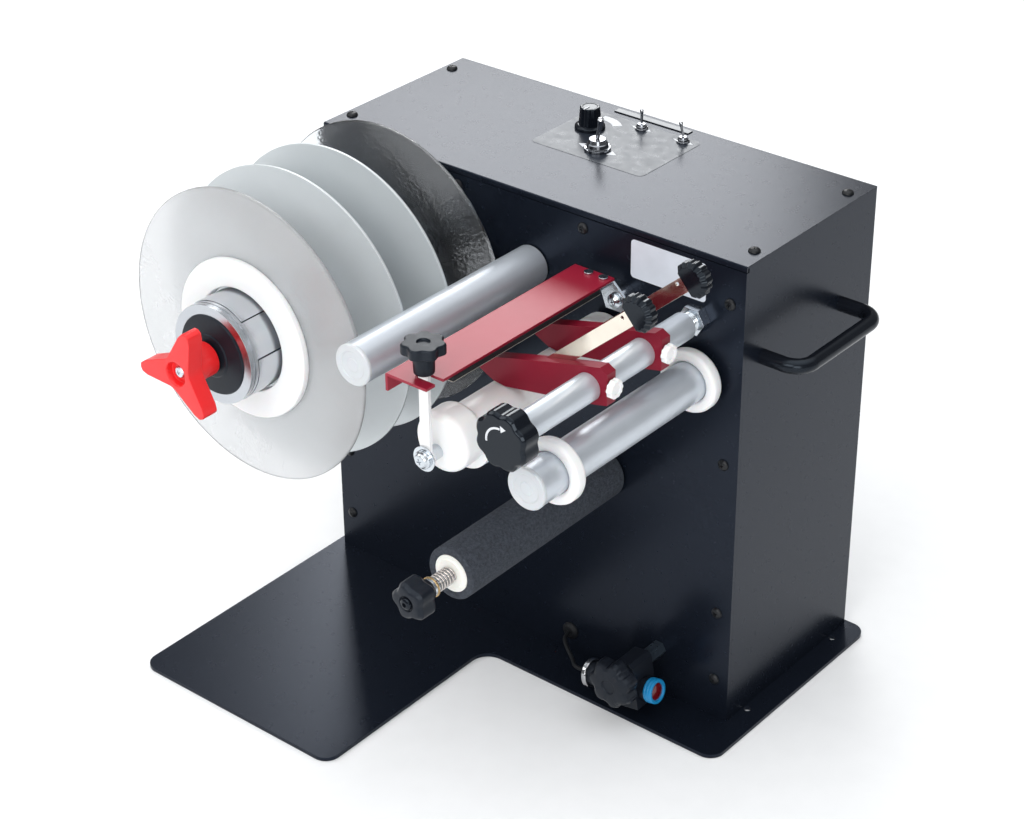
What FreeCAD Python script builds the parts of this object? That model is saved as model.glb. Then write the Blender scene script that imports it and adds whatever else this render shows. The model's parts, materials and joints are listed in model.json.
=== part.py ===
import FreeCAD, Part
import math
import operator
import os
import Sketcher
from types import SimpleNamespace
from FreeCAD import Placement, Rotation, Vector

# Label slitter rewinder, in millimetres. The origin is on the underside of the base plate, below the
# lower left corner of the cabinet's front panel. +X runs right along the front panel, +Y runs back
# into the cabinet and +Z is up, so the rollers and the winding spindle stand out towards -Y.

SIZES = {
    "plate_thickness": 3,
    "plate_left": 7,
    "plate_right": 18.5,
    "plate_rear": 4,
    "plate_front": 41.6,
    "tongue_right": 185.5,
    "tongue_front": 219,
    "plate_corner": 12,
    "plate_inner_corner": 15,
    "mount_hole_diameter": 5.5,
    "mount_hole_inset": 3.5,
    "mount_hole_spacing": 115,
    "cabinet_width": 382,
    "cabinet_depth": 160.5,
    "cabinet_height": 375,
    "sheet_wall": 1.5,
    "panel_wall": 3,
    "cover_wall": 2,
    "flange_width": 18,
    "lid_lip": 4,
    "lid_gap": 0.8,
    "bend_radius": 1.2,
    "screw_diameter": 4,
    "screw_head_diameter": 8.6,
    "screw_head_height": 2.4,
    "screw_length": 8,
    "edge_inset": 11,
    "screw_row_one": 33.5,
    "screw_row_two": 92.3,
    "screw_row_three": 217.5,
    "screw_row_four": 343.5,
    "top_screw_left": 131.5,
    "top_screw_right": 245.2,
    "top_screw_height": 362,
    "lid_screw_inset": 8,
    "lid_screw_front": 23,
    "lid_screw_rear": 22.5,
    "cover_screw_low": 20,
    "cover_screw_middle": 187,
    "cover_screw_high": 350,
    "hole_clearance": 0.2,
    "running_clearance": 0.05,
    "touch_gap": 0.3,
    "handle_diameter": 11,
    "handle_spacing": 98,
    "handle_reach": 31,
    "handle_bend": 14,
    "handle_height": 297,
    "handle_middle": 74,
    "spindle_across": 77.5,
    "spindle_height": 290.5,
    "spindle_diameter": 20,
    "spindle_collar_diameter": 60,
    "collar_back": 7,
    "spindle_end": 172,
    "bearing_diameter": 47,
    "bearing_width": 14,
    "housing_length": 52,
    "housing_wall": 6,
    "housing_flange": 88,
    "coupling_diameter": 34,
    "coupling_length": 22,
    "motor_diameter": 62,
    "motor_rear_gap": 8.5,
    "motor_stub": 14,
    "motor_plate": 96,
    "motor_plate_wall": 4,
    "motor_post_spacing": 76,
    "motor_post_diameter": 9,
    "chuck_diameter": 75,
    "chuck_recess": 1.5,
    "chuck_start": 22,
    "jaw_end": 192,
    "chuck_front": 199.5,
    "chuck_ring_diameter": 74,
    "chuck_groove": 0.8,
    "jaw_angle": 74,
    "jaw_wall": 13,
    "jaw_foot_width": 5,
    "jaw_travel": 1.2,
    "jaw_clearance": 0.3,
    "cam_diameter": 34,
    "cam_wall": 8,
    "cam_turn": 90,
    "cam_lead": 12,
    "stem_diameter": 11,
    "face_diameter": 60,
    "face_wall": 3.5,
    "wing_hub_diameter": 25,
    "wing_back": 205,
    "wing_front": 235,
    "wing_arm_back": 222,
    "wing_reach": 36,
    "wing_tip_width": 9,
    "wing_root_width": 19,
    "wing_recess_diameter": 17,
    "disc_diameter": 220,
    "disc_bore": 78,
    "disc_wall": 3,
    "separator_wall": 2,
    "rear_disc_front": 22,
    "inner_separator_front": 73,
    "outer_separator_front": 119,
    "front_disc_front": 166,
    "hub_diameter": 120,
    "hub_front": 172,
    "hub_edge": 2,
    "tube_diameter": 30,
    "tube_wall": 2.5,
    "bush_length": 10,
    "axle_diameter": 12,
    "cap_wall": 3,
    "cap_lip": 0.8,
    "tube_panel_gap": 1,
    "guide_across": 199.8,
    "guide_height": 320,
    "guide_length": 186,
    "idler_across": 346.3,
    "idler_height": 281.1,
    "idler_length": 185,
    "idler_flange_diameter": 46.6,
    "idler_flange_width": 10,
    "idler_flange_edge": 3.5,
    "rear_flange_front": 14,
    "front_flange_front": 164,
    "sliding_clearance": 0.1,
    "foam_across": 266.8,
    "foam_height": 173.7,
    "foam_diameter": 39.6,
    "foam_core_diameter": 28,
    "foam_length": 171.5,
    "foam_axle_diameter": 10,
    "spring_diameter": 12.6,
    "spring_wire": 1.2,
    "spring_end": 190,
    "spring_turns": 6,
    "collar_diameter": 14,
    "knob_back": 195,
    "tension_knob_front": 213,
    "star_knob_diameter": 30,
    "knob_socket_diameter": 12,
    "bed_across": 271.5,
    "bed_height": 278,
    "bed_diameter": 44,
    "bed_front": 161,
    "bed_back": 22,
    "cheek_lift": 7,
    "cheek_front": 185,
    "cheek_back": 4,
    "cheek_edge": 4,
    "bed_rod_diameter": 10,
    "stud_across": 269.5,
    "stud_height": 279,
    "stud_front": 197,
    "stud_wall": 3,
    "stud_width": 8,
    "stud_eye_diameter": 13,
    "stud_screw_diameter": 6,
    "stud_top": 362,
    "stud_flat_top": 342,
    "clamp_knob_base": 342.6,
    "clamp_knob_neck": 14,
    "clamp_knob_neck_length": 14.4,
    "clamp_knob_top": 365,
    "bar_left": 247,
    "bar_right": 282,
    "bar_top": 340,
    "bar_wall": 2,
    "bar_flange": 13,
    "bar_front": 208,
    "bar_back": 12,
    "slot_middle": 195.5,
    "slot_width": 8,
    "strip_width": 18,
    "strip_wall": 3.3,
    "strip_front": 183,
    "strip_back": 29,
    "hinge_across": 284.5,
    "hinge_height": 324.3,
    "hinge_wall": 2,
    "hinge_shoulder": 14,
    "rivet_inset": 5,
    "hinge_leg": 16,
    "hinge_post_diameter": 14,
    "hinge_screw_diameter": 6,
    "hinge_screw_head": 11,
    "shaft_across": 343.7,
    "shaft_height": 325.2,
    "shaft_diameter": 20,
    "shaft_neck_diameter": 12,
    "shaft_start": 15,
    "shaft_nut_width": 19,
    "shaft_nut_height": 8,
    "shaft_knob_diameter": 42,
    "shaft_knob_front": 208,
    "holder_wall": 9,
    "outer_holder_back": 112,
    "inner_holder_back": 53,
    "holder_nose": 92,
    "holder_nose_low": 17.5,
    "holder_nose_high": 9,
    "holder_foot": 69.5,
    "holder_foot_low": 24.7,
    "holder_belly": 3.3,
    "holder_belly_low": 11.9,
    "holder_tail": 15.5,
    "holder_tail_low": 9,
    "holder_tail_high": 14,
    "holder_crown": 9.6,
    "holder_crown_high": 17.2,
    "holder_neck": 31.2,
    "holder_neck_high": 7.3,
    "blade_across": 312.2,
    "blade_height": 329.9,
    "blade_angle": 41.2,
    "blade_width": 10.8,
    "blade_wall": 1,
    "blade_tip": 43,
    "blade_tip_slant": 4,
    "blade_tail": 90,
    "blade_setback": 1.5,
    "blade_hole": 73,
    "blade_hole_diameter": 2.5,
    "grip_centre": 86.5,
    "grip_flat": 82,
    "grip_diameter": 26,
    "grip_wall": 10,
    "thumb_diameter": 14,
    "thumb_wall": 5,
    "thumb_height": 3,
    "thumb_screw_diameter": 4,
    "sensor_across": 320,
    "sensor_height": 39,
    "sensor_post_width": 11,
    "sensor_post_length": 20,
    "sensor_block_depth": 24,
    "sensor_block_width": 18,
    "sensor_drop": 15.2,
    "sensor_tilt": 10,
    "sensor_diameter": 18,
    "sensor_front": 13.5,
    "sensor_rear": 44,
    "gland_length": 4,
    "lens_ring": 7,
    "sensor_knob_diameter": 39,
    "sensor_knob_depth": 19,
    "sensor_screw_diameter": 6,
    "grommet_across": 236.8,
    "grommet_height": 17.5,
    "grommet_diameter": 14,
    "cable_diameter": 3.2,
    "switch_body": 13,
    "switch_bushing": 6,
    "lever_diameter": 3,
    "lever_length": 11,
    "power_across": 190,
    "power_back": 87.7,
    "power_bushing": 12,
    "power_lever_diameter": 5,
    "power_lever_length": 17,
    "power_lean": 11,
    "small_switch_inset": 23.6,
    "power_switch_depth": 24,
    "small_switch_depth": 14,
    "speed_case_depth": 11,
    "mode_across": 193.2,
    "direction_across": 230.9,
    "direction_lean": -13,
    "speed_across": 162,
    "speed_back": 115,
    "speed_skirt": 23,
    "speed_knob_diameter": 16,
    "speed_knob_height": 17,
    "speed_skirt_height": 3,
    "speed_shaft": 6,
    "supply_width": 120,
    "supply_depth": 90,
    "supply_height": 36,
    "supply_left": 210,
    "supply_near": 34,
    "board_width": 100,
    "board_depth": 74,
    "board_wall": 1.6,
    "board_inset": 8,
    "pillar_length": 8,
    "pillar_diameter": 5,
    "pillar_inset": 5,
    "heat_sink_inset": 20,
    "heat_sink_width": 40,
    "heat_sink_depth": 14,
    "heat_sink_height": 22.4,
    "inlet_across": 40,
    "inlet_low": 60,
    "inlet_width": 28,
    "inlet_height": 48,
    "inlet_depth": 26,
    "inlet_rim": 3,
    "inlet_rim_wall": 2,
    "socket_depth": 18,
    "socket_low": 25,
    "socket_wall": 3,
}

doc = FreeCAD.newDocument("slitter_rewinder")
sheet = doc.addObject("Spreadsheet::Sheet", "sizes")
for row, (alias, number) in enumerate(SIZES.items(), start=1):
    sheet.set("A%d" % row, alias)
    sheet.set("B%d" % row, str(number))
    sheet.setAlias("B%d" % row, alias)
doc.recompute()

SIGNS = {"+": operator.add, "-": operator.sub, "*": operator.mul, "/": operator.truediv}


def written(size):
    """Give the text that a sheet expression uses for a size or a plain number."""
    return size.text if isinstance(size, Size) else repr(size)


def combined(left, sign, right):
    """Join two sizes by an arithmetic sign, in value and in expression."""
    value = SIGNS[sign](float(left), float(right))
    return Size(value, "(%s %s %s)" % (written(left), sign, written(right)))


class Size:
    """A length or angle with its present value and the sheet expression that drives it."""

    def __init__(self, value, text):
        self.value = float(value)
        self.text = text

    def __float__(self):
        return self.value

    def __add__(self, other):
        return combined(self, "+", other)

    def __radd__(self, other):
        return combined(other, "+", self)

    def __sub__(self, other):
        return combined(self, "-", other)

    def __rsub__(self, other):
        return combined(other, "-", self)

    def __mul__(self, other):
        return combined(self, "*", other)

    def __rmul__(self, other):
        return combined(other, "*", self)

    def __truediv__(self, other):
        return combined(self, "/", other)

    def __neg__(self):
        return combined(0, "-", self)


s = SimpleNamespace(**{alias: Size(sheet.get(alias), "sizes." + alias) for alias in SIZES})
parts = []

ALONG_Y = Rotation(Vector(1, 0, 0), -90)
OUT_OF_PANEL = Rotation(Vector(1, 0, 0), 90)
ALONG_X = Rotation(Vector(0, 1, 0), 90)
POINTING_UP = Rotation(Vector(1, 0, 0), -90)
POINTING_DOWN = Rotation(Vector(1, 0, 0), 180)


def bind(feature, path, size):
    """Keep a property tied to the sheet when it has a sheet size."""
    if isinstance(size, Size):
        feature.setExpression(path, size.text)


def place(feature, x=0, y=0, z=0, turn=Rotation()):
    """Put a feature at a point whose coordinates stay tied to the sheet."""
    feature.Placement = Placement(Vector(float(x), float(y), float(z)), turn)
    for axis, size in zip("xyz", (x, y, z)):
        bind(feature, ".Placement.Base." + axis, size)
    return feature


def keep(feature, name):
    """Label a finished sub-part and list it for writing."""
    feature.Label = name
    parts.append(feature)
    return feature


def above(height):
    """Measure a height from the top face of the base plate."""
    return s.plate_thickness + height


def box(name, low, high):
    """Make a box between two corners."""
    block = doc.addObject("Part::Box", name)
    for side, start, end in zip(("Length", "Width", "Height"), low, high):
        span = end - start
        setattr(block, side, float(span))
        bind(block, side, span)
    return place(block, *low)


def rod(name, diameter, length, x, y, z, turn=OUT_OF_PANEL):
    """Make a cylinder that starts at a point, towards -Y unless it is turned."""
    cylinder = doc.addObject("Part::Cylinder", name)
    radius = diameter / 2
    cylinder.Radius = float(radius)
    bind(cylinder, "Radius", radius)
    cylinder.Height = float(length)
    bind(cylinder, "Height", length)
    return place(cylinder, x, y, z, turn)


def union(name, pieces):
    """Fuse pieces into one solid."""
    fused = doc.addObject("Part::MultiFuse", name)
    fused.Shapes = pieces
    fused.Refine = True
    return fused


def group(name, pieces):
    """Hold separate solids in one sub-part."""
    compound = doc.addObject("Part::Compound", name)
    compound.Links = pieces
    return compound


def cut(name, base, tools):
    """Take tools away from a base."""
    result = doc.addObject("Part::Cut", name)
    result.Base = base
    result.Tool = tools[0] if len(tools) == 1 else group(name + "_tools", tools)
    return result


def new_body(name, x=0, y=0, z=0, turn=Rotation()):
    """Start a body at its place."""
    body = doc.addObject("PartDesign::Body", name)
    return place(body, x, y, z, turn)


def new_sketch(body, plane):
    """Start a sketch on one of the body's own origin planes."""
    sketch = body.newObject("Sketcher::SketchObject", body.Name + "_sketch")
    feature = [item for item in body.Origin.OriginFeatures if item.Role == plane][0]
    sketch.AttachmentSupport = [(feature, "")]
    sketch.MapMode = "FlatFace"
    return sketch


def fix_point(sketch, geometry, vertex, point):
    """Tie a sketch point to the sheet by its two distances from the origin."""
    for kind, size in zip(("DistanceX", "DistanceY"), point):
        number = sketch.addConstraint(Sketcher.Constraint(kind, -1, 1, geometry, vertex, float(size)))
        bind(sketch, "Constraints[%d]" % number, size)


def outline(body, plane, corners):
    """Sketch a closed outline through corners."""
    sketch = new_sketch(body, plane)
    points = [Vector(float(across), float(up), 0) for across, up in corners]
    count = len(points)
    for index in range(count):
        sketch.addGeometry(Part.LineSegment(points[index], points[(index + 1) % count]), False)
    for index in range(count):
        sketch.addConstraint(Sketcher.Constraint("Coincident", index, 2, (index + 1) % count, 1))
    for index, corner in enumerate(corners):
        fix_point(sketch, index, 1, corner)
    return sketch


def circle_sketch(body, plane, circles):
    """Sketch circles given as (across, up, diameter)."""
    sketch = new_sketch(body, plane)
    for index, (across, up, diameter) in enumerate(circles):
        centre = Vector(float(across), float(up), 0)
        sketch.addGeometry(Part.Circle(centre, Vector(0, 0, 1), float(diameter) / 2), False)
        fix_point(sketch, index, 3, (across, up))
        number = sketch.addConstraint(Sketcher.Constraint("Diameter", index, float(diameter)))
        bind(sketch, "Constraints[%d]" % number, diameter)
    return sketch


def pad(body, sketch, length, backwards=False):
    """Pad a sketch; a sketch on the XZ plane pads towards -Y."""
    feature = body.newObject("PartDesign::Pad", body.Name + "_pad")
    feature.Profile = sketch
    feature.Length = float(length)
    bind(feature, "Length", length)
    feature.Reversed = backwards
    return feature


def pocket(body, sketch):
    """Cut a sketch right through the body, both ways."""
    feature = body.newObject("PartDesign::Pocket", body.Name + "_pocket")
    feature.Profile = sketch
    feature.Type = "ThroughAll"
    feature.SideType = "Symmetric"
    return feature


def around(body, feature, sketch, count):
    """Repeat a feature evenly around the sketch's normal."""
    pattern = body.newObject("PartDesign::PolarPattern", body.Name + "_pattern")
    pattern.Originals = [feature]
    pattern.Axis = (sketch, ["N_Axis"])
    pattern.Angle = 360
    pattern.Occurrences = count
    body.Tip = pattern
    return pattern


def turned(name, profile, x=0, y=0, z=0, turn=Rotation()):
    """Revolve a profile of (along Y, radius) points about the body's Y axis."""
    body = new_body(name, x, y, z, turn)
    sketch = outline(body, "YZ_Plane", profile)
    feature = body.newObject("PartDesign::Revolution", name + "_turning")
    feature.Profile = sketch
    feature.ReferenceAxis = (sketch, ["H_Axis"])
    feature.Angle = 360
    return body


def rounded(body, radius, test):
    """Round the edges that a test picks from the body's present solid."""
    doc.recompute()
    base = body.Tip
    names = ["Edge%d" % (index + 1) for index, edge in enumerate(base.Shape.Edges) if test(edge)]
    feature = body.newObject("PartDesign::Fillet", body.Name + "_rounding")
    feature.Base = (base, names)
    feature.Radius = float(radius)
    bind(feature, "Radius", radius)
    body.Tip = feature
    return feature


def is_upright_at(points):
    """Pick edges along Z that stand at given (x, y) points."""
    def test(edge):
        box_of_edge = edge.BoundBox
        upright = box_of_edge.XLength + box_of_edge.YLength < 0.01
        return upright and any(
            math.hypot(box_of_edge.XMin - float(x), box_of_edge.YMin - float(y)) < 0.01 for x, y in points)
    return test


def is_ring_at(places):
    """Pick circular edges about the body's Y axis by (along Y, radius)."""
    def test(edge):
        extent = edge.BoundBox
        return extent.YLength < 0.01 and any(
            abs(extent.YMin - float(along)) < 0.01 and abs(extent.ZMax - float(radius)) < 0.01
            for along, radius in places)
    return test


def ring_profile(back, front, inner, outer):
    """Give the profile of a plain ring whose ends are at two stand-offs from the panel."""
    return [(-back, inner), (-back, outer), (-front, outer), (-front, inner)]


# Screws that hold the cabinet together: (across, height) on the front panel and (across, back) on the lid.
PANEL_SCREWS = [
    (across, height)
    for across in (s.edge_inset, s.cabinet_width - s.edge_inset - 1)
    for height in (s.screw_row_one, s.screw_row_two, s.screw_row_three, s.screw_row_four)
] + [(s.top_screw_left, s.top_screw_height), (s.top_screw_right, s.top_screw_height)]
LID_SCREWS = [
    (across, back)
    for across in (s.lid_screw_inset, s.cabinet_width - s.lid_screw_inset - 2)
    for back in (s.lid_screw_front, s.cabinet_depth - s.lid_screw_rear)
]
COVER_SCREWS = [
    (across, height)
    for across in (s.lid_screw_inset, s.cabinet_width - s.lid_screw_inset)
    for height in (s.cover_screw_low, s.cover_screw_middle, s.cover_screw_high)
]


def screw(name, x, y, z, turn):
    """Make a pan-head screw whose head seats at a point and whose shank runs the other way."""
    head = doc.addObject("Part::Cone", name + "_head")
    head.Radius1 = float(s.screw_head_diameter / 2)
    bind(head, "Radius1", s.screw_head_diameter / 2)
    head.Radius2 = float(s.screw_head_diameter / 3)
    bind(head, "Radius2", s.screw_head_diameter / 3)
    head.Height = float(s.screw_head_height)
    bind(head, "Height", s.screw_head_height)
    shank = rod(name + "_shank", s.screw_diameter, s.screw_length, 0, 0, -s.screw_length, Rotation())
    return place(union(name, [head, shank]), x, y, z, turn)


def build_base_plate():
    """L-shaped steel plate: a deep strip under the cabinet and a tongue under the winding spindle."""
    right = s.cabinet_width + s.plate_right
    rear = s.cabinet_depth + s.plate_rear
    corners = [
        (-s.plate_left, rear),
        (-s.plate_left, -s.tongue_front),
        (s.tongue_right, -s.tongue_front),
        (s.tongue_right, -s.plate_front),
        (right, -s.plate_front),
        (right, rear),
    ]
    body = new_body("base_plate")
    pad(body, outline(body, "XY_Plane", corners), s.plate_thickness)
    rounded(body, s.plate_corner, is_upright_at([corners[1], corners[2], corners[4], corners[5]]))
    rounded(body, s.plate_inner_corner, is_upright_at([corners[3]]))
    hole_across = s.cabinet_width + s.mount_hole_inset
    middle = s.cabinet_depth / 2
    pocket(body, circle_sketch(body, "XY_Plane", [
        (hole_across, middle - s.mount_hole_spacing / 2, s.mount_hole_diameter),
        (hole_across, middle + s.mount_hole_spacing / 2, s.mount_hole_diameter),
    ]))
    keep(body, "base_plate")


def build_cabinet():
    """Folded sheet shell with flanges all round, closed by a front panel, a lid and a rear cover."""
    low = s.plate_thickness
    high = above(s.cabinet_height)
    shell_high = high - s.sheet_wall
    back = s.cabinet_depth - s.cover_wall
    wall = s.sheet_wall
    inset = s.flange_width
    outside = box("shell_outside", (0, s.panel_wall, low), (s.cabinet_width, back, shell_high))
    inside = box("shell_inside", (wall, s.panel_wall + wall, low + wall),
                 (s.cabinet_width - wall, back - wall, shell_high - wall))
    windows = [
        box("shell_front_window", (inset, 0, low + inset),
            (s.cabinet_width - inset, s.panel_wall + wall * 2, shell_high - inset)),
        box("shell_rear_window", (inset, back - wall * 2, low + inset),
            (s.cabinet_width - inset, back + wall, shell_high - inset)),
        box("shell_top_window", (inset, s.panel_wall + inset, shell_high - wall * 2),
            (s.cabinet_width - inset, back - inset / 2, shell_high + wall)),
        rod("shell_grommet_window", s.grommet_diameter + s.flange_width / 2, s.flange_width, s.grommet_across,
            s.flange_width - wall, above(s.grommet_height)),
    ]
    bore = s.screw_diameter + s.hole_clearance * 2
    drilled = [rod("shell_bore", bore, s.screw_length * 3, across, s.screw_length * 2, above(height))
               for across, height in PANEL_SCREWS]
    drilled += [rod("shell_bore", bore, s.screw_length * 2, across, place_back, high + wall, POINTING_DOWN)
                for across, place_back in LID_SCREWS]
    drilled += [rod("shell_bore", bore, s.screw_length * 3, across, s.cabinet_depth + wall, above(height))
                for across, height in COVER_SCREWS]
    keep(cut("cabinet_shell", outside, [inside] + windows + drilled), "cabinet_shell")

    lid_bores = [rod("lid_bore", bore, s.screw_length, across, place_back, high + wall, POINTING_DOWN)
                 for across, place_back in LID_SCREWS]
    for across, place_back, diameter in (
            (s.power_across, s.power_back, s.power_bushing),
            (s.mode_across, s.cabinet_depth - s.small_switch_inset, s.switch_bushing),
            (s.direction_across, s.cabinet_depth - s.small_switch_inset, s.switch_bushing),
            (s.speed_across, s.speed_back, s.speed_shaft)):
        lid_bores.append(rod("control_bore", diameter + s.hole_clearance * 2, s.screw_length, across, place_back,
                             high + wall, Rotation(Vector(1, 0, 0), 180)))
    lid = new_body("lid_sheet")
    pad(lid, outline(lid, "YZ_Plane", [
        (0, high),
        (back, high),
        (back, shell_high),
        (wall, shell_high),
        (wall, high - s.lid_lip),
        (0, high - s.lid_lip),
    ]), s.cabinet_width)
    rounded(lid, s.bend_radius, lambda edge: edge.BoundBox.YMax < 0.01 and edge.BoundBox.ZMin > float(high) - 0.01)
    keep(cut("top_lid", lid, lid_bores), "top_lid")

    panel = new_body("panel_sheet")
    panel_high = high - s.lid_lip - s.lid_gap
    pad(panel, outline(panel, "XZ_Plane", [
        (0, low), (s.cabinet_width, low), (s.cabinet_width, panel_high), (0, panel_high),
    ]), s.panel_wall, backwards=True)
    clear = s.hole_clearance * 2
    panel_bores = [(across, height, s.screw_diameter + clear) for across, height in PANEL_SCREWS]
    panel_bores += [
        (s.spindle_across, s.spindle_height, s.housing_flange / 2),
        (s.guide_across, s.guide_height, s.axle_diameter + clear),
        (s.idler_across, s.idler_height, s.axle_diameter + clear),
        (s.foam_across, s.foam_height, s.foam_axle_diameter + clear),
        (s.stud_across, s.stud_height, s.bed_rod_diameter + clear),
        (s.shaft_across, s.shaft_height, s.shaft_neck_diameter + clear),
        (s.grommet_across, s.grommet_height, s.grommet_diameter - s.panel_wall),
    ]
    bores = [rod("panel_bore", diameter, s.panel_wall * 3, across, s.panel_wall * 2, above(height))
             for across, height, diameter in panel_bores]
    keep(cut("front_panel", panel, bores), "front_panel")

    cover = box("cover_sheet", (0, back, low), (s.cabinet_width, s.cabinet_depth, high))
    inlet_low = above(s.inlet_low)
    cover_tools = [rod("cover_bore", bore, s.screw_length * 2, across, s.cabinet_depth + wall, above(height))
                   for across, height in COVER_SCREWS]
    cover_tools.append(box("inlet_window", (s.inlet_across, back - wall, inlet_low),
                           (s.inlet_across + s.inlet_width, s.cabinet_depth + wall, inlet_low + s.inlet_height)))
    keep(cut("rear_cover", cover, cover_tools), "rear_cover")

    screws = [screw("panel_screw", across, 0, above(height), OUT_OF_PANEL) for across, height in PANEL_SCREWS]
    screws += [screw("lid_screw", across, place_back, high, Rotation()) for across, place_back in LID_SCREWS]
    screws += [screw("cover_screw", across, s.cabinet_depth, above(height), ALONG_Y)
               for across, height in COVER_SCREWS]
    keep(group("cabinet_screws", screws), "cabinet_screws")


def build_handle():
    """Round pull handle on the right side: two posts, two bends and a bar, level."""
    bend = s.handle_bend
    start = s.cabinet_width
    straight = s.handle_reach - bend
    near = s.handle_middle - s.handle_spacing / 2
    far = s.handle_middle + s.handle_spacing / 2
    height = above(s.handle_height)
    radius = s.handle_diameter / 2
    pieces = [
        rod("handle_near_post", s.handle_diameter, straight, start, near, height, ALONG_X),
        rod("handle_far_post", s.handle_diameter, straight, start, far, height, ALONG_X),
        rod("handle_bar", s.handle_diameter, s.handle_spacing - bend * 2, start + s.handle_reach, near + bend,
            height, ALONG_Y),
    ]
    for name, back, spin in (("handle_near_bend", near + bend, -90), ("handle_far_bend", far - bend, 0)):
        torus = doc.addObject("Part::Torus", name)
        torus.Radius1 = float(bend)
        bind(torus, "Radius1", bend)
        torus.Radius2 = float(radius)
        bind(torus, "Radius2", radius)
        torus.Angle3 = 90
        pieces.append(place(torus, start + straight, back, height, Rotation(Vector(0, 0, 1), spin)))
    keep(union("carry_handle", pieces), "carry_handle")


def build_switch(name, across, back, bushing, width, depth):
    """Toggle switch from its threaded bushing down: body, bushing and hexagon nut on the lid."""
    top = above(s.cabinet_height)
    under = top - s.sheet_wall
    body = box(name + "_body", (across - width / 2, back - width / 2, under - depth),
               (across + width / 2, back + width / 2, under))
    neck = rod(name + "_bushing", bushing, s.sheet_wall + bushing * 0.7, across, back, under, Rotation())
    nut = doc.addObject("Part::Prism", name + "_nut")
    nut.Polygon = 6
    nut.Circumradius = float(bushing * 0.78)
    bind(nut, "Circumradius", bushing * 0.78)
    nut.Height = float(bushing * 0.25)
    bind(nut, "Height", bushing * 0.25)
    place(nut, across, back, top)
    return union(name, [body, neck, nut])


def build_lever(name, across, back, bushing, diameter, length, lean):
    """Toggle lever: a slim cone with a ball end, leaning in its bushing."""
    foot = above(s.cabinet_height) + bushing * 0.7 + s.touch_gap
    stem = diameter / 2
    profile = [
        (0, 0),
        (0, stem * 0.6),
        (-length * 0.75, stem * 0.8),
        (-length * 0.9, stem),
        (-length, stem * 0.55),
        (-length, 0),
    ]
    turn = Rotation(Vector(0, 1, 0), float(lean)).multiply(POINTING_UP)
    keep(turned(name, profile, across, back, foot, turn), name)


def build_controls():
    """Speed knob and three toggle switches in the lid."""
    small_back = s.cabinet_depth - s.small_switch_inset
    bodies = [
        build_switch("power_switch", s.power_across, s.power_back, s.power_bushing, s.switch_body * 1.5,
                     s.power_switch_depth),
        build_switch("mode_switch", s.mode_across, small_back, s.switch_bushing, s.switch_body,
                     s.small_switch_depth),
        build_switch("direction_switch", s.direction_across, small_back, s.switch_bushing, s.switch_body,
                     s.small_switch_depth),
    ]
    top = above(s.cabinet_height)
    pot_case = rod("speed_control_case", s.speed_skirt, s.speed_case_depth, s.speed_across, s.speed_back,
                   top - s.sheet_wall - s.speed_case_depth, Rotation())
    pot_shaft = rod("speed_control_shaft", s.speed_shaft, s.sheet_wall + s.speed_knob_height * 0.7,
                    s.speed_across, s.speed_back, top - s.sheet_wall, Rotation())
    bodies.append(union("speed_control", [pot_case, pot_shaft]))
    keep(group("lid_switches", bodies), "lid_switches")
    build_lever("power_lever", s.power_across, s.power_back, s.power_bushing, s.power_lever_diameter,
                s.power_lever_length, s.power_lean)
    build_lever("mode_lever", s.mode_across, small_back, s.switch_bushing, s.lever_diameter, s.lever_length, 0)
    build_lever("direction_lever", s.direction_across, small_back, s.switch_bushing, s.lever_diameter,
                s.lever_length, s.direction_lean)
    skirt = s.speed_skirt / 2
    grip = s.speed_knob_diameter / 2
    bore = s.speed_shaft / 2 + s.running_clearance
    deep = s.speed_knob_height * 0.72
    profile = [
        (0, bore),
        (0, skirt),
        (-s.speed_skirt_height * 0.5, skirt),
        (-s.speed_skirt_height, grip * 1.08),
        (-s.speed_knob_height, grip * 0.94),
        (-s.speed_knob_height, 0),
        (-deep, 0),
        (-deep, bore),
    ]
    keep(turned("speed_knob", profile, s.speed_across, s.speed_back, top + s.touch_gap, POINTING_UP), "speed_knob")


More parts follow.
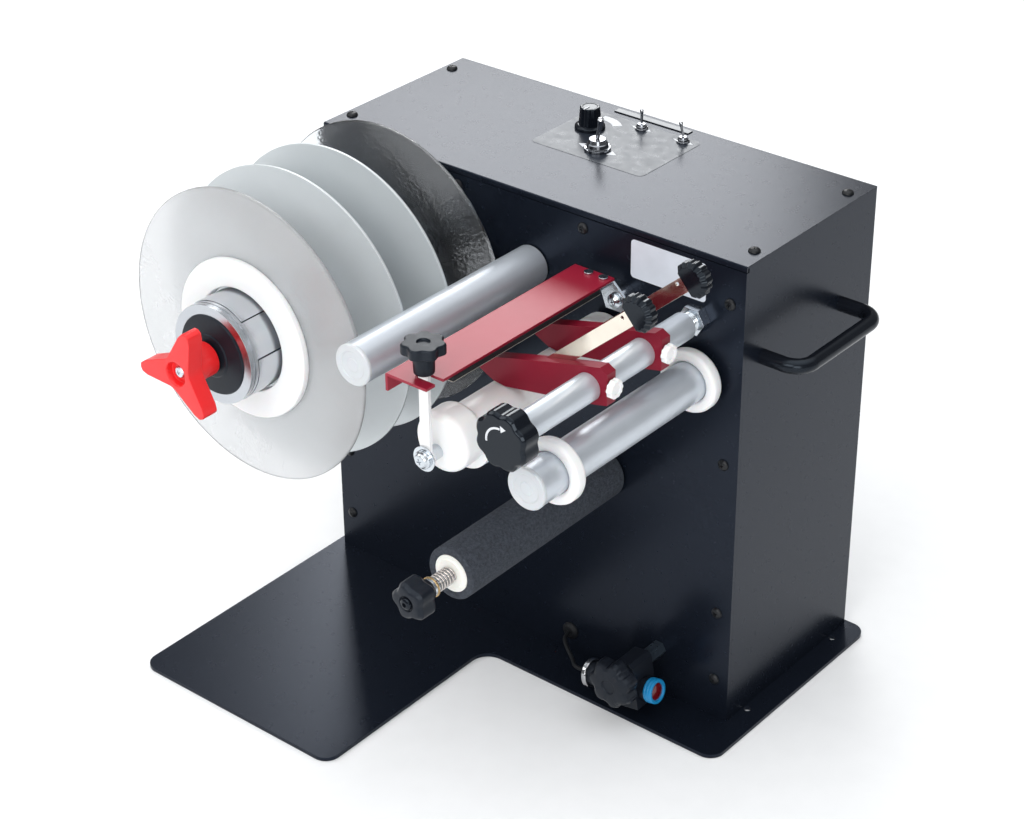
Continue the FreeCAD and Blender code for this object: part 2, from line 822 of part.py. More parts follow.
def build_drive():
    """Bearing housing, spindle shaft, coupling, gear motor and its bracket, all on the spindle's axis."""
    across, height = s.spindle_across, above(s.spindle_height)
    seat = s.bearing_diameter / 2
    outer = seat + s.housing_wall
    middle = seat - 3
    start = s.panel_wall
    end = start + s.housing_length
    flange = s.housing_flange / 2
    pilot = s.housing_flange / 4 - s.hole_clearance
    front_bearing_back = start + s.bearing_width
    profile = [
        (0, pilot - 2), (0, pilot), (start, pilot), (start, flange), (start + s.housing_wall, flange),
        (start + s.housing_wall, outer), (end, outer), (end, seat), (end - s.bearing_width, seat),
        (end - s.bearing_width, middle), (front_bearing_back, middle), (front_bearing_back, pilot - 2),
    ]
    shell = turned("housing_shell", profile, across, 0, height)
    shaft_bore = s.spindle_diameter / 2 + s.running_clearance
    rings = [
        turned("front_bearing", [(0, shaft_bore), (0, pilot - 2), (s.bearing_width, pilot - 2),
                                 (s.bearing_width, shaft_bore)], across, 0, height),
        turned("rear_bearing", [(end - s.bearing_width, shaft_bore), (end - s.bearing_width, seat), (end, seat),
                                (end, shaft_bore)], across, 0, height),
    ]
    keep(group("spindle_housing", [shell] + rings), "spindle_housing")

    shaft_back = end + s.coupling_length / 2
    spindle = s.spindle_diameter / 2
    collar = s.spindle_collar_diameter / 2
    collar_front = s.rear_disc_front - s.disc_wall
    keep(turned("spindle_shaft", [
        (shaft_back, 0), (shaft_back, spindle), (-s.collar_back, spindle), (-s.collar_back, collar - 2),
        (-s.collar_back - 2, collar), (-collar_front, collar), (-collar_front, spindle), (-s.spindle_end, spindle),
        (-s.spindle_end, 0),
    ], across, 0, height), "spindle_shaft")

    coupling_start = end + 2
    coupling_end = coupling_start + s.coupling_length
    motor_shaft = s.spindle_diameter / 4
    coupling = turned("shaft_coupling", [
        (coupling_start, s.spindle_diameter / 2), (coupling_start, s.coupling_diameter / 2),
        (coupling_end, s.coupling_diameter / 2), (coupling_end, motor_shaft),
        (coupling_end + s.motor_stub, motor_shaft), (coupling_end + s.motor_stub, 0), (shaft_back, 0),
        (shaft_back, s.spindle_diameter / 2),
    ], across, 0, height)
    keep(coupling, "shaft_coupling")

    plate_start = coupling_end + 1
    plate_end = plate_start + s.motor_plate_wall
    half = s.motor_plate / 2
    post = s.motor_post_spacing / 2
    pieces = [cut("motor_plate_bored", box("motor_plate_blank", (across - half, plate_start, height - half),
                                           (across + half, plate_end, height + half)),
                  [rod("motor_plate_bore", s.motor_diameter * 0.4, s.motor_plate_wall * 3, across,
                       plate_end + s.motor_plate_wall, height)])]
    for side in (-1, 1):
        for level in (-1, 1):
            pieces.append(rod("motor_post", s.motor_post_diameter, plate_start - start, across + post * side,
                              plate_start, height + post * level))
    keep(union("motor_bracket", pieces), "motor_bracket")

    motor_back = s.cabinet_depth - s.cover_wall - s.motor_rear_gap
    gear_end = plate_end + (motor_back - plate_end) * 0.42
    motor_end = plate_end + (motor_back - plate_end) * 0.93
    bore = motor_shaft + s.running_clearance
    case = s.motor_diameter / 2
    motor = turned("gear_motor", [
        (plate_end, bore), (plate_end, case), (gear_end, case), (gear_end, case * 0.84),
        (motor_end, case * 0.84), (motor_end, case * 0.3), (motor_back, case * 0.3), (motor_back, 0),
        (coupling_end + s.motor_stub + 1, 0), (coupling_end + s.motor_stub + 1, bore),
    ], across, 0, height)
    keep(motor, "gear_motor")


def cam_shape():
    """Three equal spiral lobes, each rising evenly over a third of a turn, with a stem to the wing knob."""
    rise_per_degree = float(s.jaw_travel) / float(s.cam_turn)
    base = float(s.cam_diameter) / 2
    edges = []
    for lobe in range(3):
        first = 90 + lobe * 120 + float(s.cam_lead)
        points = []
        for turn in (0, 60, 120):
            angle = math.radians(first - turn)
            radius = base + rise_per_degree * turn
            points.append(Vector(radius * math.cos(angle), 0, radius * math.sin(angle)))
        edges.append(Part.Arc(*points).toShape())
        step = math.radians(first - 120)
        edges.append(Part.LineSegment(points[2], Vector(base * math.cos(step), 0, base * math.sin(step))).toShape())
    ordered = Part.__sortEdges__(edges)
    face = Part.Face(Part.Wire(ordered))
    return face.extrude(Vector(0, -float(s.cam_wall), 0))


def build_chuck():
    """Expanding core chuck: a slotted body, three jaws pushed out by a spiral cam, and the wing knob."""
    across, height = s.spindle_across, above(s.spindle_height)
    outer = s.chuck_diameter / 2
    core = outer - s.jaw_wall
    ring = s.chuck_ring_diameter / 2
    pocket_outer = outer - s.chuck_recess
    cavity_back = s.jaw_end - s.cam_wall - 6
    groove_back = s.jaw_end + (s.chuck_front - s.jaw_end) * 0.35
    bore = s.spindle_diameter / 2
    body = turned("chuck_blank", [
        (-s.chuck_start, bore), (-s.chuck_start, pocket_outer), (-s.jaw_end, pocket_outer),
        (-s.jaw_end, ring), (-groove_back, ring), (-groove_back, ring - s.chuck_groove),
        (-groove_back - s.chuck_groove, ring - s.chuck_groove), (-groove_back - s.chuck_groove, ring),
        (-s.chuck_front, ring), (-s.chuck_front, s.face_diameter / 2), (-s.jaw_end - 2, s.face_diameter / 2),
        (-s.jaw_end - 2, core), (-cavity_back, core), (-cavity_back, bore),
    ], across, 0, height)
    half = float(s.jaw_angle) / 2
    reach = float(outer) * 1.5

    def sector(inner, outside, back, front, half_angle, middle):
        """Make a ring sector about the spindle, from one stand-off to another."""
        solid = Part.makeCylinder(float(outside), float(front) - float(back), Vector(0, -float(back), 0),
                                  Vector(0, -1, 0), 360)
        hollow = Part.makeCylinder(float(inner), float(front) - float(back), Vector(0, -float(back), 0),
                                   Vector(0, -1, 0), 360)
        first = math.radians(middle - half_angle)
        last = math.radians(middle + half_angle)
        wedge = Part.Face(Part.makePolygon([
            Vector(0, -float(back), 0),
            Vector(reach * math.cos(first), -float(back), reach * math.sin(first)),
            Vector(reach * math.cos(math.radians(middle)), -float(back), reach * math.sin(math.radians(middle))),
            Vector(reach * math.cos(last), -float(back), reach * math.sin(last)),
            Vector(0, -float(back), 0),
        ])).extrude(Vector(0, -(float(front) - float(back)), 0))
        return solid.cut(hollow).common(wedge)

    clear = float(s.jaw_clearance)
    side = math.degrees(clear / float(core))
    tools = []
    for middle in (90, 210, 330):
        tools.append(sector(core - clear, outer + 1, s.chuck_start + 4, s.jaw_end, half + side, middle))
    sockets = doc.addObject("Part::Feature", "jaw_sockets")
    sockets.Shape = Part.makeCompound(tools)
    place(sockets, across, 0, height)
    keep(cut("chuck_body", body, [sockets]), "chuck_body")

    foot_start = s.jaw_end - s.cam_wall - 3
    rise = float(s.jaw_travel) / float(s.cam_turn)
    foot_half_angle = math.degrees(math.atan(float(s.jaw_foot_width) / float(s.cam_diameter)))
    foot_inner = float(s.cam_diameter) / 2 + rise * (float(s.cam_lead) + foot_half_angle) + clear
    for number, middle in enumerate((90, 210, 330), start=1):
        ring_piece = sector(core, outer, s.chuck_start + 4 + s.jaw_clearance, s.jaw_end - s.jaw_clearance, half,
                            middle)
        foot = Part.makeBox(
            float(s.jaw_foot_width), float(s.cam_wall), float(core) + 1 - foot_inner,
            Vector(-float(s.jaw_foot_width) / 2, -float(foot_start) - float(s.cam_wall), foot_inner))
        foot.rotate(Vector(0, 0, 0), Vector(0, 1, 0), 90 - middle)
        jaw = doc.addObject("Part::Feature", "chuck_jaw_%d" % number)
        jaw.Shape = ring_piece.fuse(foot).removeSplitter()
        keep(place(jaw, across, 0, height), "chuck_jaw_%d" % number)

    cam = doc.addObject("Part::Feature", "cam_lobes")
    cam.Shape = cam_shape()
    place(cam, across, -foot_start, height)
    stem = rod("cam_stem", s.stem_diameter, s.wing_back - foot_start - s.cam_wall / 2, across,
               -foot_start - s.cam_wall / 2, height)
    keep(union("chuck_cam", [cam, stem]), "chuck_cam")

    stem_bore = s.stem_diameter / 2 + s.running_clearance
    front = s.chuck_front + s.face_wall
    face = turned("chuck_face", [
        (-s.jaw_end - 2, stem_bore), (-s.jaw_end - 2, s.face_diameter / 2), (-s.chuck_front, s.face_diameter / 2),
        (-front + 2.2, s.face_diameter / 2 - 1), (-front + 1.2, s.face_diameter / 4 + 1),
        (-front + 0.4, s.face_diameter / 4), (-front, stem_bore + 3), (-front, stem_bore),
    ], across, 0, height)
    keep(face, "chuck_face")


def build_wing_knob():
    """Three-armed wing knob with a round hub behind its arms and a recess for its screw."""
    body = new_body("wing_hub", s.spindle_across, -s.wing_back, above(s.spindle_height))
    hub = circle_sketch(body, "XZ_Plane", [(0, 0, s.wing_hub_diameter)])
    pad(body, hub, s.wing_front - s.wing_back)
    rounded(body, 2, lambda edge: abs(edge.BoundBox.YMax + float(s.wing_front - s.wing_back)) < 0.01)
    root = s.wing_root_width / 2
    tip = s.wing_tip_width / 2
    arms = []
    for number, angle in enumerate((70, 190, 310)):
        arm = new_body("wing_arm_%d" % number, s.spindle_across, -s.wing_arm_back, above(s.spindle_height),
                       Rotation(Vector(0, 1, 0), -angle))
        pad(arm, outline(arm, "XZ_Plane", [
            (0, -root), (s.wing_reach * 0.35, -tip * 1.5), (s.wing_reach, -tip * 0.8), (s.wing_reach, tip * 0.8),
            (s.wing_reach * 0.35, tip * 1.5), (0, root),
        ]), s.wing_front - s.wing_arm_back)
        rounded(arm, 1.6, lambda edge: edge.BoundBox.XMin > float(s.wing_reach) * 0.3)
        arms.append(arm)
    blank = union("wing_blank", [body] + arms)
    recess = rod("wing_recess", s.wing_recess_diameter, 6, s.spindle_across, -s.wing_front + 5,
                 above(s.spindle_height))
    screw_head = doc.addObject("Part::Cone", "wing_screw")
    screw_head.Radius1 = float(s.wing_recess_diameter / 4)
    bind(screw_head, "Radius1", s.wing_recess_diameter / 4)
    screw_head.Radius2 = float(s.wing_recess_diameter / 6)
    bind(screw_head, "Radius2", s.wing_recess_diameter / 6)
    screw_head.Height = 2.5
    place(screw_head, s.spindle_across, -s.wing_front + 5, above(s.spindle_height), OUT_OF_PANEL)
    keep(group("wing_knob_group", [cut("wing_knob_bored", blank, [recess]), screw_head]), "wing_knob")


def build_discs():
    """Rear disc, two separators and the front disc with its white hub, all on the chuck."""
    across, height = s.spindle_across, above(s.spindle_height)
    bore = s.disc_bore / 2
    outer = s.disc_diameter / 2
    rear = turned("rear_disc", ring_profile(s.rear_disc_front - s.disc_wall, s.rear_disc_front,
                                            s.spindle_diameter / 2, outer), across, 0, height)
    keep(rear, "rear_disc")
    for name, front in (("inner_separator", s.inner_separator_front), ("outer_separator", s.outer_separator_front)):
        keep(turned(name, ring_profile(front - s.separator_wall, front, bore, outer), across, 0, height), name)
    keep(turned("front_disc", ring_profile(s.front_disc_front - s.disc_wall, s.front_disc_front,
                                           s.hub_diameter / 2 - 12, outer), across, 0, height), "front_disc")
    hub = s.hub_diameter / 2
    lip = s.front_disc_front - s.disc_wall
    body = turned("front_hub", [
        (-lip, bore), (-lip, hub - 12), (-s.front_disc_front, hub - 12), (-s.front_disc_front, hub),
        (-s.hub_front, hub), (-s.hub_front, bore),
    ], across, 0, height)
    rounded(body, s.hub_edge, is_ring_at([(-s.hub_front, hub)]))
    keep(body, "front_hub")


def tube_with_bushes(name, across, height, length):
    """Aluminium tube on two bushes, open in the middle."""
    outer = s.tube_diameter / 2
    inner = outer - s.tube_wall
    bore = s.axle_diameter / 2 + s.running_clearance
    start = s.tube_panel_gap
    return turned(name, [
        (-start, bore), (-start, outer), (-length, outer), (-length, inner),
        (-length + s.bush_length, inner), (-length + s.bush_length, bore),
        (-length + s.bush_length * 2, bore), (-length + s.bush_length * 2, inner),
        (-start - s.bush_length, inner), (-start - s.bush_length, bore),
    ], across, 0, height)


def tube_cap(name, across, height, length):
    """Push-in end cap, a little wider than its tube."""
    outer = s.tube_diameter / 2
    skirt = outer - s.tube_wall
    return turned(name, [
        (-length + 6, 0), (-length + 6, skirt), (-length, skirt), (-length, outer + s.cap_lip / 2),
        (-length - s.cap_wall + 1, outer + s.cap_lip / 2), (-length - s.cap_wall, outer - 1),
        (-length - s.cap_wall, 0),
    ], across, 0, height)


def build_rollers():
    """Guide tube, flanged idler and sprung foam roller on fixed axles."""
    keep(tube_with_bushes("guide_tube", s.guide_across, above(s.guide_height), s.guide_length), "guide_tube")
    keep(tube_cap("guide_cap", s.guide_across, above(s.guide_height), s.guide_length), "guide_cap")
    idler = tube_with_bushes("idler_roll", s.idler_across, above(s.idler_height), s.idler_length)
    idler_cap = tube_cap("idler_cap", s.idler_across, above(s.idler_height), s.idler_length)
    keep(group("idler_tube", [idler, idler_cap]), "idler_tube")
    outer = s.idler_flange_diameter / 2
    for name, front, clearance in (("idler_rear_flange", s.rear_flange_front, 0),
                                   ("idler_front_flange", s.front_flange_front, s.sliding_clearance)):
        bore = s.tube_diameter / 2 + clearance
        back = front - s.idler_flange_width
        flange = turned(name, ring_profile(back, front, bore, outer), s.idler_across, 0, above(s.idler_height))
        rounded(flange, s.idler_flange_edge, is_ring_at([(-front, outer), (-back, outer)]))
        keep(flange, name)

    across, height = s.foam_across, above(s.foam_height)
    core = s.foam_core_diameter / 2
    bore = s.foam_axle_diameter / 2 + s.running_clearance
    start = s.tube_panel_gap
    roll = s.foam_diameter / 2
    core_body = turned("foam_core", ring_profile(start, s.foam_length + 0.5, bore, core), across, 0, height)
    sleeve = turned("foam_sleeve", ring_profile(start + 1, s.foam_length, core, roll), across, 0, height)
    rounded(sleeve, 1, is_ring_at([(-s.foam_length, roll)]))
    keep(group("foam_roller", [core_body, sleeve]), "foam_roller")


def coil(wire, mean_radius, pitch, turns):
    """Make a round-wire coil along Z."""
    path = Part.makeHelix(pitch, pitch * turns, mean_radius)
    section = Part.Wire(Part.makeCircle(wire / 2, Vector(mean_radius, 0, 0), Vector(0, 1, 0)))
    return Part.Wire(path).makePipeShell([section], True, True)


def build_springs():
    """Coil spring on the foam roller's axle, between the roller and its collar."""
    wire = float(s.spring_wire)
    start = float(s.foam_length) + 0.5 + float(s.touch_gap) + wire / 2
    length = float(s.spring_end) - start - wire / 2
    turns = float(s.spring_turns)
    tension = doc.addObject("Part::Feature", "roller_coil")
    tension.Shape = coil(wire, float(s.spring_diameter) / 2 - wire / 2, length / turns, turns)
    place(tension, s.foam_across, -start, above(s.foam_height), OUT_OF_PANEL)
    keep(tension, "tension_spring")


def build_axles():
    """Fixed axles through the front panel for the guide tube, the idler, the foam roller and the bed."""
    tail = s.panel_wall + 9
    pieces = []
    for name, across, level, diameter, end in (
            ("guide_axle", s.guide_across, s.guide_height, s.axle_diameter, s.guide_length - s.bush_length),
            ("idler_axle", s.idler_across, s.idler_height, s.axle_diameter, s.idler_length - s.bush_length),
            ("foam_axle", s.foam_across, s.foam_height, s.foam_axle_diameter, s.tension_knob_front - 5),
            ("bed_rod", s.stud_across, s.stud_height, s.bed_rod_diameter, s.bed_front)):
        pieces.append(rod(name, diameter, end + tail, across, tail, above(level)))
    keep(group("roller_axles", pieces), "roller_axles")


def hexagon(name, width, height, x, y, z):
    """Hexagonal prism towards -Y."""
    prism = doc.addObject("Part::Prism", name)
    prism.Polygon = 6
    corner = width / math.sqrt(3)
    prism.Circumradius = float(corner)
    bind(prism, "Circumradius", corner)
    prism.Height = float(height)
    bind(prism, "Height", height)
    return place(prism, x, y, z, OUT_OF_PANEL)


def build_panel_fixings():
    """Nuts, standoffs and screws that the front panel carries, as separate solids."""
    clear = s.running_clearance * 2
    pieces = []
    shaft_nut = cut("shaft_nut", hexagon("shaft_nut_blank", s.shaft_nut_width, s.shaft_nut_height, s.shaft_across, 0,
                                         above(s.shaft_height)),
                    [rod("shaft_nut_bore", s.shaft_neck_diameter + clear, s.shaft_nut_height * 3, s.shaft_across,
                         s.shaft_nut_height, above(s.shaft_height))])
    pieces.append(shaft_nut)
    sleeve_start = s.shaft_nut_height
    sleeve_end = s.shaft_start - s.touch_gap
    ridge = (sleeve_end - sleeve_start) / 8
    inner = s.shaft_neck_diameter / 2 + s.running_clearance
    root = s.shaft_neck_diameter / 2 + s.spring_wire / 2
    crest = s.shaft_neck_diameter / 2 + s.spring_wire * 1.2
    profile = [(-sleeve_end, inner), (-sleeve_start, inner)]
    for step in range(9):
        profile.append((-sleeve_start - ridge * step, crest if step % 2 else root))
    pieces.append(turned("shaft_sleeve", profile, s.shaft_across, 0, above(s.shaft_height)))
    for name, across, level, diameter in (
            ("guide_nut", s.guide_across, s.guide_height, s.axle_diameter),
            ("idler_nut", s.idler_across, s.idler_height, s.axle_diameter),
            ("foam_nut", s.foam_across, s.foam_height, s.foam_axle_diameter),
            ("bed_nut", s.stud_across, s.stud_height, s.bed_rod_diameter)):
        nut_height = diameter * 0.7
        nut_back = s.panel_wall + nut_height
        pieces.append(cut(name, hexagon(name + "_blank", diameter * 1.6, nut_height, across, nut_back, above(level)),
                          [rod(name + "_bore", diameter, nut_height * 3, across, nut_back + nut_height,
                               above(level))]))
    neck = s.hinge_screw_diameter / 2
    leg_back = s.bar_back - s.touch_gap
    head_back = s.bar_back + s.hinge_wall + s.touch_gap
    pieces.append(turned("hinge_post", [
        (0, 0), (0, s.hinge_post_diameter / 2), (-leg_back, s.hinge_post_diameter / 2), (-leg_back, neck),
        (-head_back, neck), (-head_back, s.hinge_screw_head / 2), (-head_back - 1.5, s.hinge_screw_head / 2),
        (-head_back - 3.6, s.hinge_screw_head / 4), (-head_back - 3.6, 0),
    ], s.hinge_across, 0, above(s.hinge_height)))
    screw_radius = s.stud_screw_diameter / 2
    stud_back = s.stud_front - s.stud_wall - s.touch_gap
    washer_back = s.stud_front + s.touch_gap
    pieces.append(turned("stud_screw", [
        (-s.bed_front, 0), (-s.bed_front, screw_radius), (-s.cheek_front, screw_radius),
        (-s.cheek_front, screw_radius + 2.2), (-stud_back, screw_radius + 2.2), (-stud_back, screw_radius),
        (-washer_back, screw_radius), (-washer_back, 9), (-washer_back - 1.2, 9), (-washer_back - 1.2, 6.5),
        (-washer_back - 3, 6.5), (-washer_back - 5, 3.2), (-washer_back - 5, 0),
    ], s.stud_across, 0, above(s.stud_height)))
    spacer = turned("bed_spacer", ring_profile(0, s.cheek_back, s.bed_rod_diameter / 2, s.bed_rod_diameter),
                    s.stud_across, 0, above(s.stud_height))
    pieces.append(spacer)
    pieces.append(turned("spring_collar", ring_profile(s.spring_end, s.knob_back - s.touch_gap,
                                                       s.foam_axle_diameter / 2, s.collar_diameter / 2),
                         s.foam_across, 0, above(s.foam_height)))
    pieces.append(hexagon("sensor_standoff", s.sensor_post_width, s.sensor_post_length, s.sensor_across, 0,
                          above(s.sensor_height)))
    keep(group("panel_fixings", pieces), "panel_fixings")


def lobed_knob(name, diameter, back, front, lobes, bore, bore_end, x, y, z, turn=Rotation(), neck=None):
    """Lobed hand knob: a crowned disc, scalloped round its rim, with a blind bore in its back."""
    outer = diameter / 2
    edge = (front - back) * 0.18
    foot = outer * 0.62 if neck is None else neck / 2
    seat = back + (front - back) * 0.3
    if neck is not None:
        seat = back + s.clamp_knob_neck_length
        edge = (front - seat) * 0.25
    body = turned(name, [
        (-back, bore / 2), (-back, foot), (-seat, foot), (-seat, outer - edge), (-seat - edge, outer),
        (-front + edge, outer), (-front, outer - edge), (-front, 0), (-bore_end, 0), (-bore_end, bore / 2),
    ], x, y, z, turn)
    scallop = diameter * math.sin(math.pi / lobes) * 0.62
    sketch = circle_sketch(body, "XZ_Plane", [(outer + scallop * 0.3, 0, scallop)])
    feature = pocket(body, sketch)
    around(body, feature, sketch, lobes)
    return body


def build_knobs():
    """Tension knob on the foam roller's axle."""
    knob = lobed_knob("tension_knob", s.star_knob_diameter, s.knob_back, s.tension_knob_front, 5,
                      s.foam_axle_diameter + s.sliding_clearance * 2, s.tension_knob_front - 4.5,
                      s.foam_across, 0, above(s.foam_height))
    keep(knob, "tension_knob")


def build_bed():
    """White slitting bed: a round body between two equal cheeks that stand a little higher."""
    rise = s.bed_height - s.stud_height
    shift = s.bed_across - s.stud_across
    pieces = []
    for name, back, front, lift in (("bed_roll", s.bed_back, s.bed_front, 0),
                                    ("near_cheek", s.bed_front, s.cheek_front, s.cheek_lift),
                                    ("far_cheek", s.cheek_back, s.bed_back, s.cheek_lift)):
        body = new_body(name, s.stud_across, -back, above(s.stud_height))
        bore = s.stud_screw_diameter if name == "near_cheek" else s.bed_rod_diameter
        pad(body, circle_sketch(body, "XZ_Plane", [(shift, rise + lift, s.bed_diameter)]), front - back)
        if name != "bed_roll":
            rounded(body, s.cheek_edge, lambda edge: edge.BoundBox.YLength < 0.01)
        pocket(body, circle_sketch(body, "XZ_Plane", [(0, 0, bore)]))
        pieces.append(body)
    keep(group("slitting_bed", pieces), "slitting_bed")


def build_clamp():
    """Swing stud with its clamp knob, and the hold-down bar on its hinge bracket."""
    eye = s.stud_eye_diameter
    width = s.stud_width / 2
    turning = s.stud_screw_diameter + s.running_clearance * 2
    stud_height = above(s.stud_height)
    back = s.stud_front - s.stud_wall
    flat_length = s.stud_flat_top - s.stud_height
    bar = new_body("stud_flat", s.stud_across, -back, stud_height)
    pad(bar, outline(bar, "XZ_Plane", [(-width, 0), (width, 0), (width, flat_length), (-width, flat_length)]),
        s.stud_wall)
    eye_disc = rod("stud_eye", eye, s.stud_wall, s.stud_across, -back, stud_height)
    thread = rod("stud_thread", s.stud_wall * 2, s.stud_top - s.stud_flat_top + 2, s.stud_across,
                 -s.stud_front + s.stud_wall / 2, above(s.stud_flat_top) - 2, Rotation())
    blank = union("stud_blank", [bar, eye_disc, thread])
    eye_bore = rod("stud_eye_bore", turning, s.stud_wall * 3, s.stud_across, -back + s.stud_wall, stud_height)
    keep(cut("clamp_stud", blank, [eye_bore]), "clamp_stud")

    knob_height = s.clamp_knob_top - s.clamp_knob_base
    knob = lobed_knob("clamp_knob", s.star_knob_diameter, 0, knob_height, 7,
                      s.stud_wall * 2 + s.sliding_clearance * 2, s.stud_top - s.clamp_knob_base + 0.5,
                      s.stud_across, -s.stud_front + s.stud_wall / 2, above(s.clamp_knob_base), POINTING_UP,
                      neck=s.clamp_knob_neck)
    keep(knob, "clamp_knob")

    top = above(s.bar_top)
    angle = new_body("bar_angle", 0, -s.bar_back, 0)
    pad(angle, outline(angle, "XZ_Plane", [
        (s.bar_left, top - s.bar_flange), (s.bar_left + s.bar_wall, top - s.bar_flange),
        (s.bar_left + s.bar_wall, top - s.bar_wall), (s.bar_right, top - s.bar_wall), (s.bar_right, top),
        (s.bar_left, top),
    ]), s.bar_front - s.bar_back)
    rounded(angle, s.bend_radius, lambda edge: edge.BoundBox.XLength + edge.BoundBox.ZLength < 0.01
            and abs(edge.BoundBox.XMin - float(s.bar_left)) < 0.01
            and abs(edge.BoundBox.ZMin - float(top)) < 0.01)
    inner = s.stud_across - width - 0.5
    half = s.slot_width / 2
    slot_low = -s.slot_middle - half + s.bar_back
    slot = outline(angle, "XY_Plane", [
        (inner, slot_low), (s.bar_right + 5, slot_low), (s.bar_right + 5, slot_low + s.slot_width),
        (inner, slot_low + s.slot_width),
    ])
    pocket(angle, slot)
    under = top - s.bar_wall
    rivets = []
    for across in (263.5, 276.2):
        shank = rod("rivet_shank", s.screw_diameter, s.hinge_wall + s.bar_wall, across, -s.bar_back - s.rivet_inset,
                    under - s.hinge_wall, Rotation())
        head = rod("rivet_head", s.screw_diameter * 1.7, 1.4, across, -s.bar_back - s.rivet_inset, top, Rotation())
        rivets.append(union("hinge_rivet", [shank, head]))
    keep(cut("hold_down_bar_bored", angle, rivets), "hold_down_bar")

    keep(box("hold_down_strip", (s.bar_right + 1 - s.strip_width, -s.strip_front, under - s.strip_wall),
             (s.bar_right + 1, -s.strip_back, under)), "hold_down_strip")

    pin = above(s.hinge_height)
    leg = new_body("hinge_leg", 0, -s.bar_back, 0)
    pad(leg, outline(leg, "XZ_Plane", [
        (s.hinge_across - 8, pin - 8), (s.hinge_across + 8, pin - 8), (s.hinge_across + 8, pin + 4),
        (s.bar_right, under), (s.bar_left + 6, under), (s.bar_left + 6, under - 6),
        (s.hinge_across - s.hinge_shoulder, under - 6),
    ]), s.hinge_wall)
    shelf = box("hinge_shelf", (s.bar_left + 6, -s.bar_back - s.hinge_leg, under - s.hinge_wall),
                (s.bar_right, -s.bar_back, under))
    blank = union("hinge_blank", [leg, shelf])
    pin_bore = rod("hinge_bore", s.hinge_screw_diameter + s.running_clearance * 2, s.hinge_wall * 3,
                   s.hinge_across, -s.bar_back + s.hinge_wall, pin)
    bored = cut("hinge_bracket_bored", blank, [pin_bore] + rivets)
    keep(group("hinge_bracket_unit", [bored] + rivets), "hinge_bracket")


def build_blade_shaft():
    """Tube that carries the blade holders, with a stepped neck through the panel and a lobed knob."""
    across, height = s.shaft_across, above(s.shaft_height)
    neck = s.shaft_neck_diameter / 2
    outer = s.shaft_diameter / 2
    keep(turned("blade_shaft", [
        (s.panel_wall + 8, 0), (s.panel_wall + 8, neck), (-s.shaft_start, neck), (-s.shaft_start, outer - 1),
        (-s.shaft_start - 1, outer), (-s.knob_back, outer), (-s.knob_back, outer * 0.7),
        (-s.knob_back - 8, outer * 0.7), (-s.knob_back - 8, 0),
    ], across, 0, height), "blade_shaft")
    keep(lobed_knob("shaft_knob", s.shaft_knob_diameter, s.knob_back, s.shaft_knob_front, 8, s.shaft_diameter * 0.7,
                    s.knob_back + 8, across, 0, height), "shaft_knob")


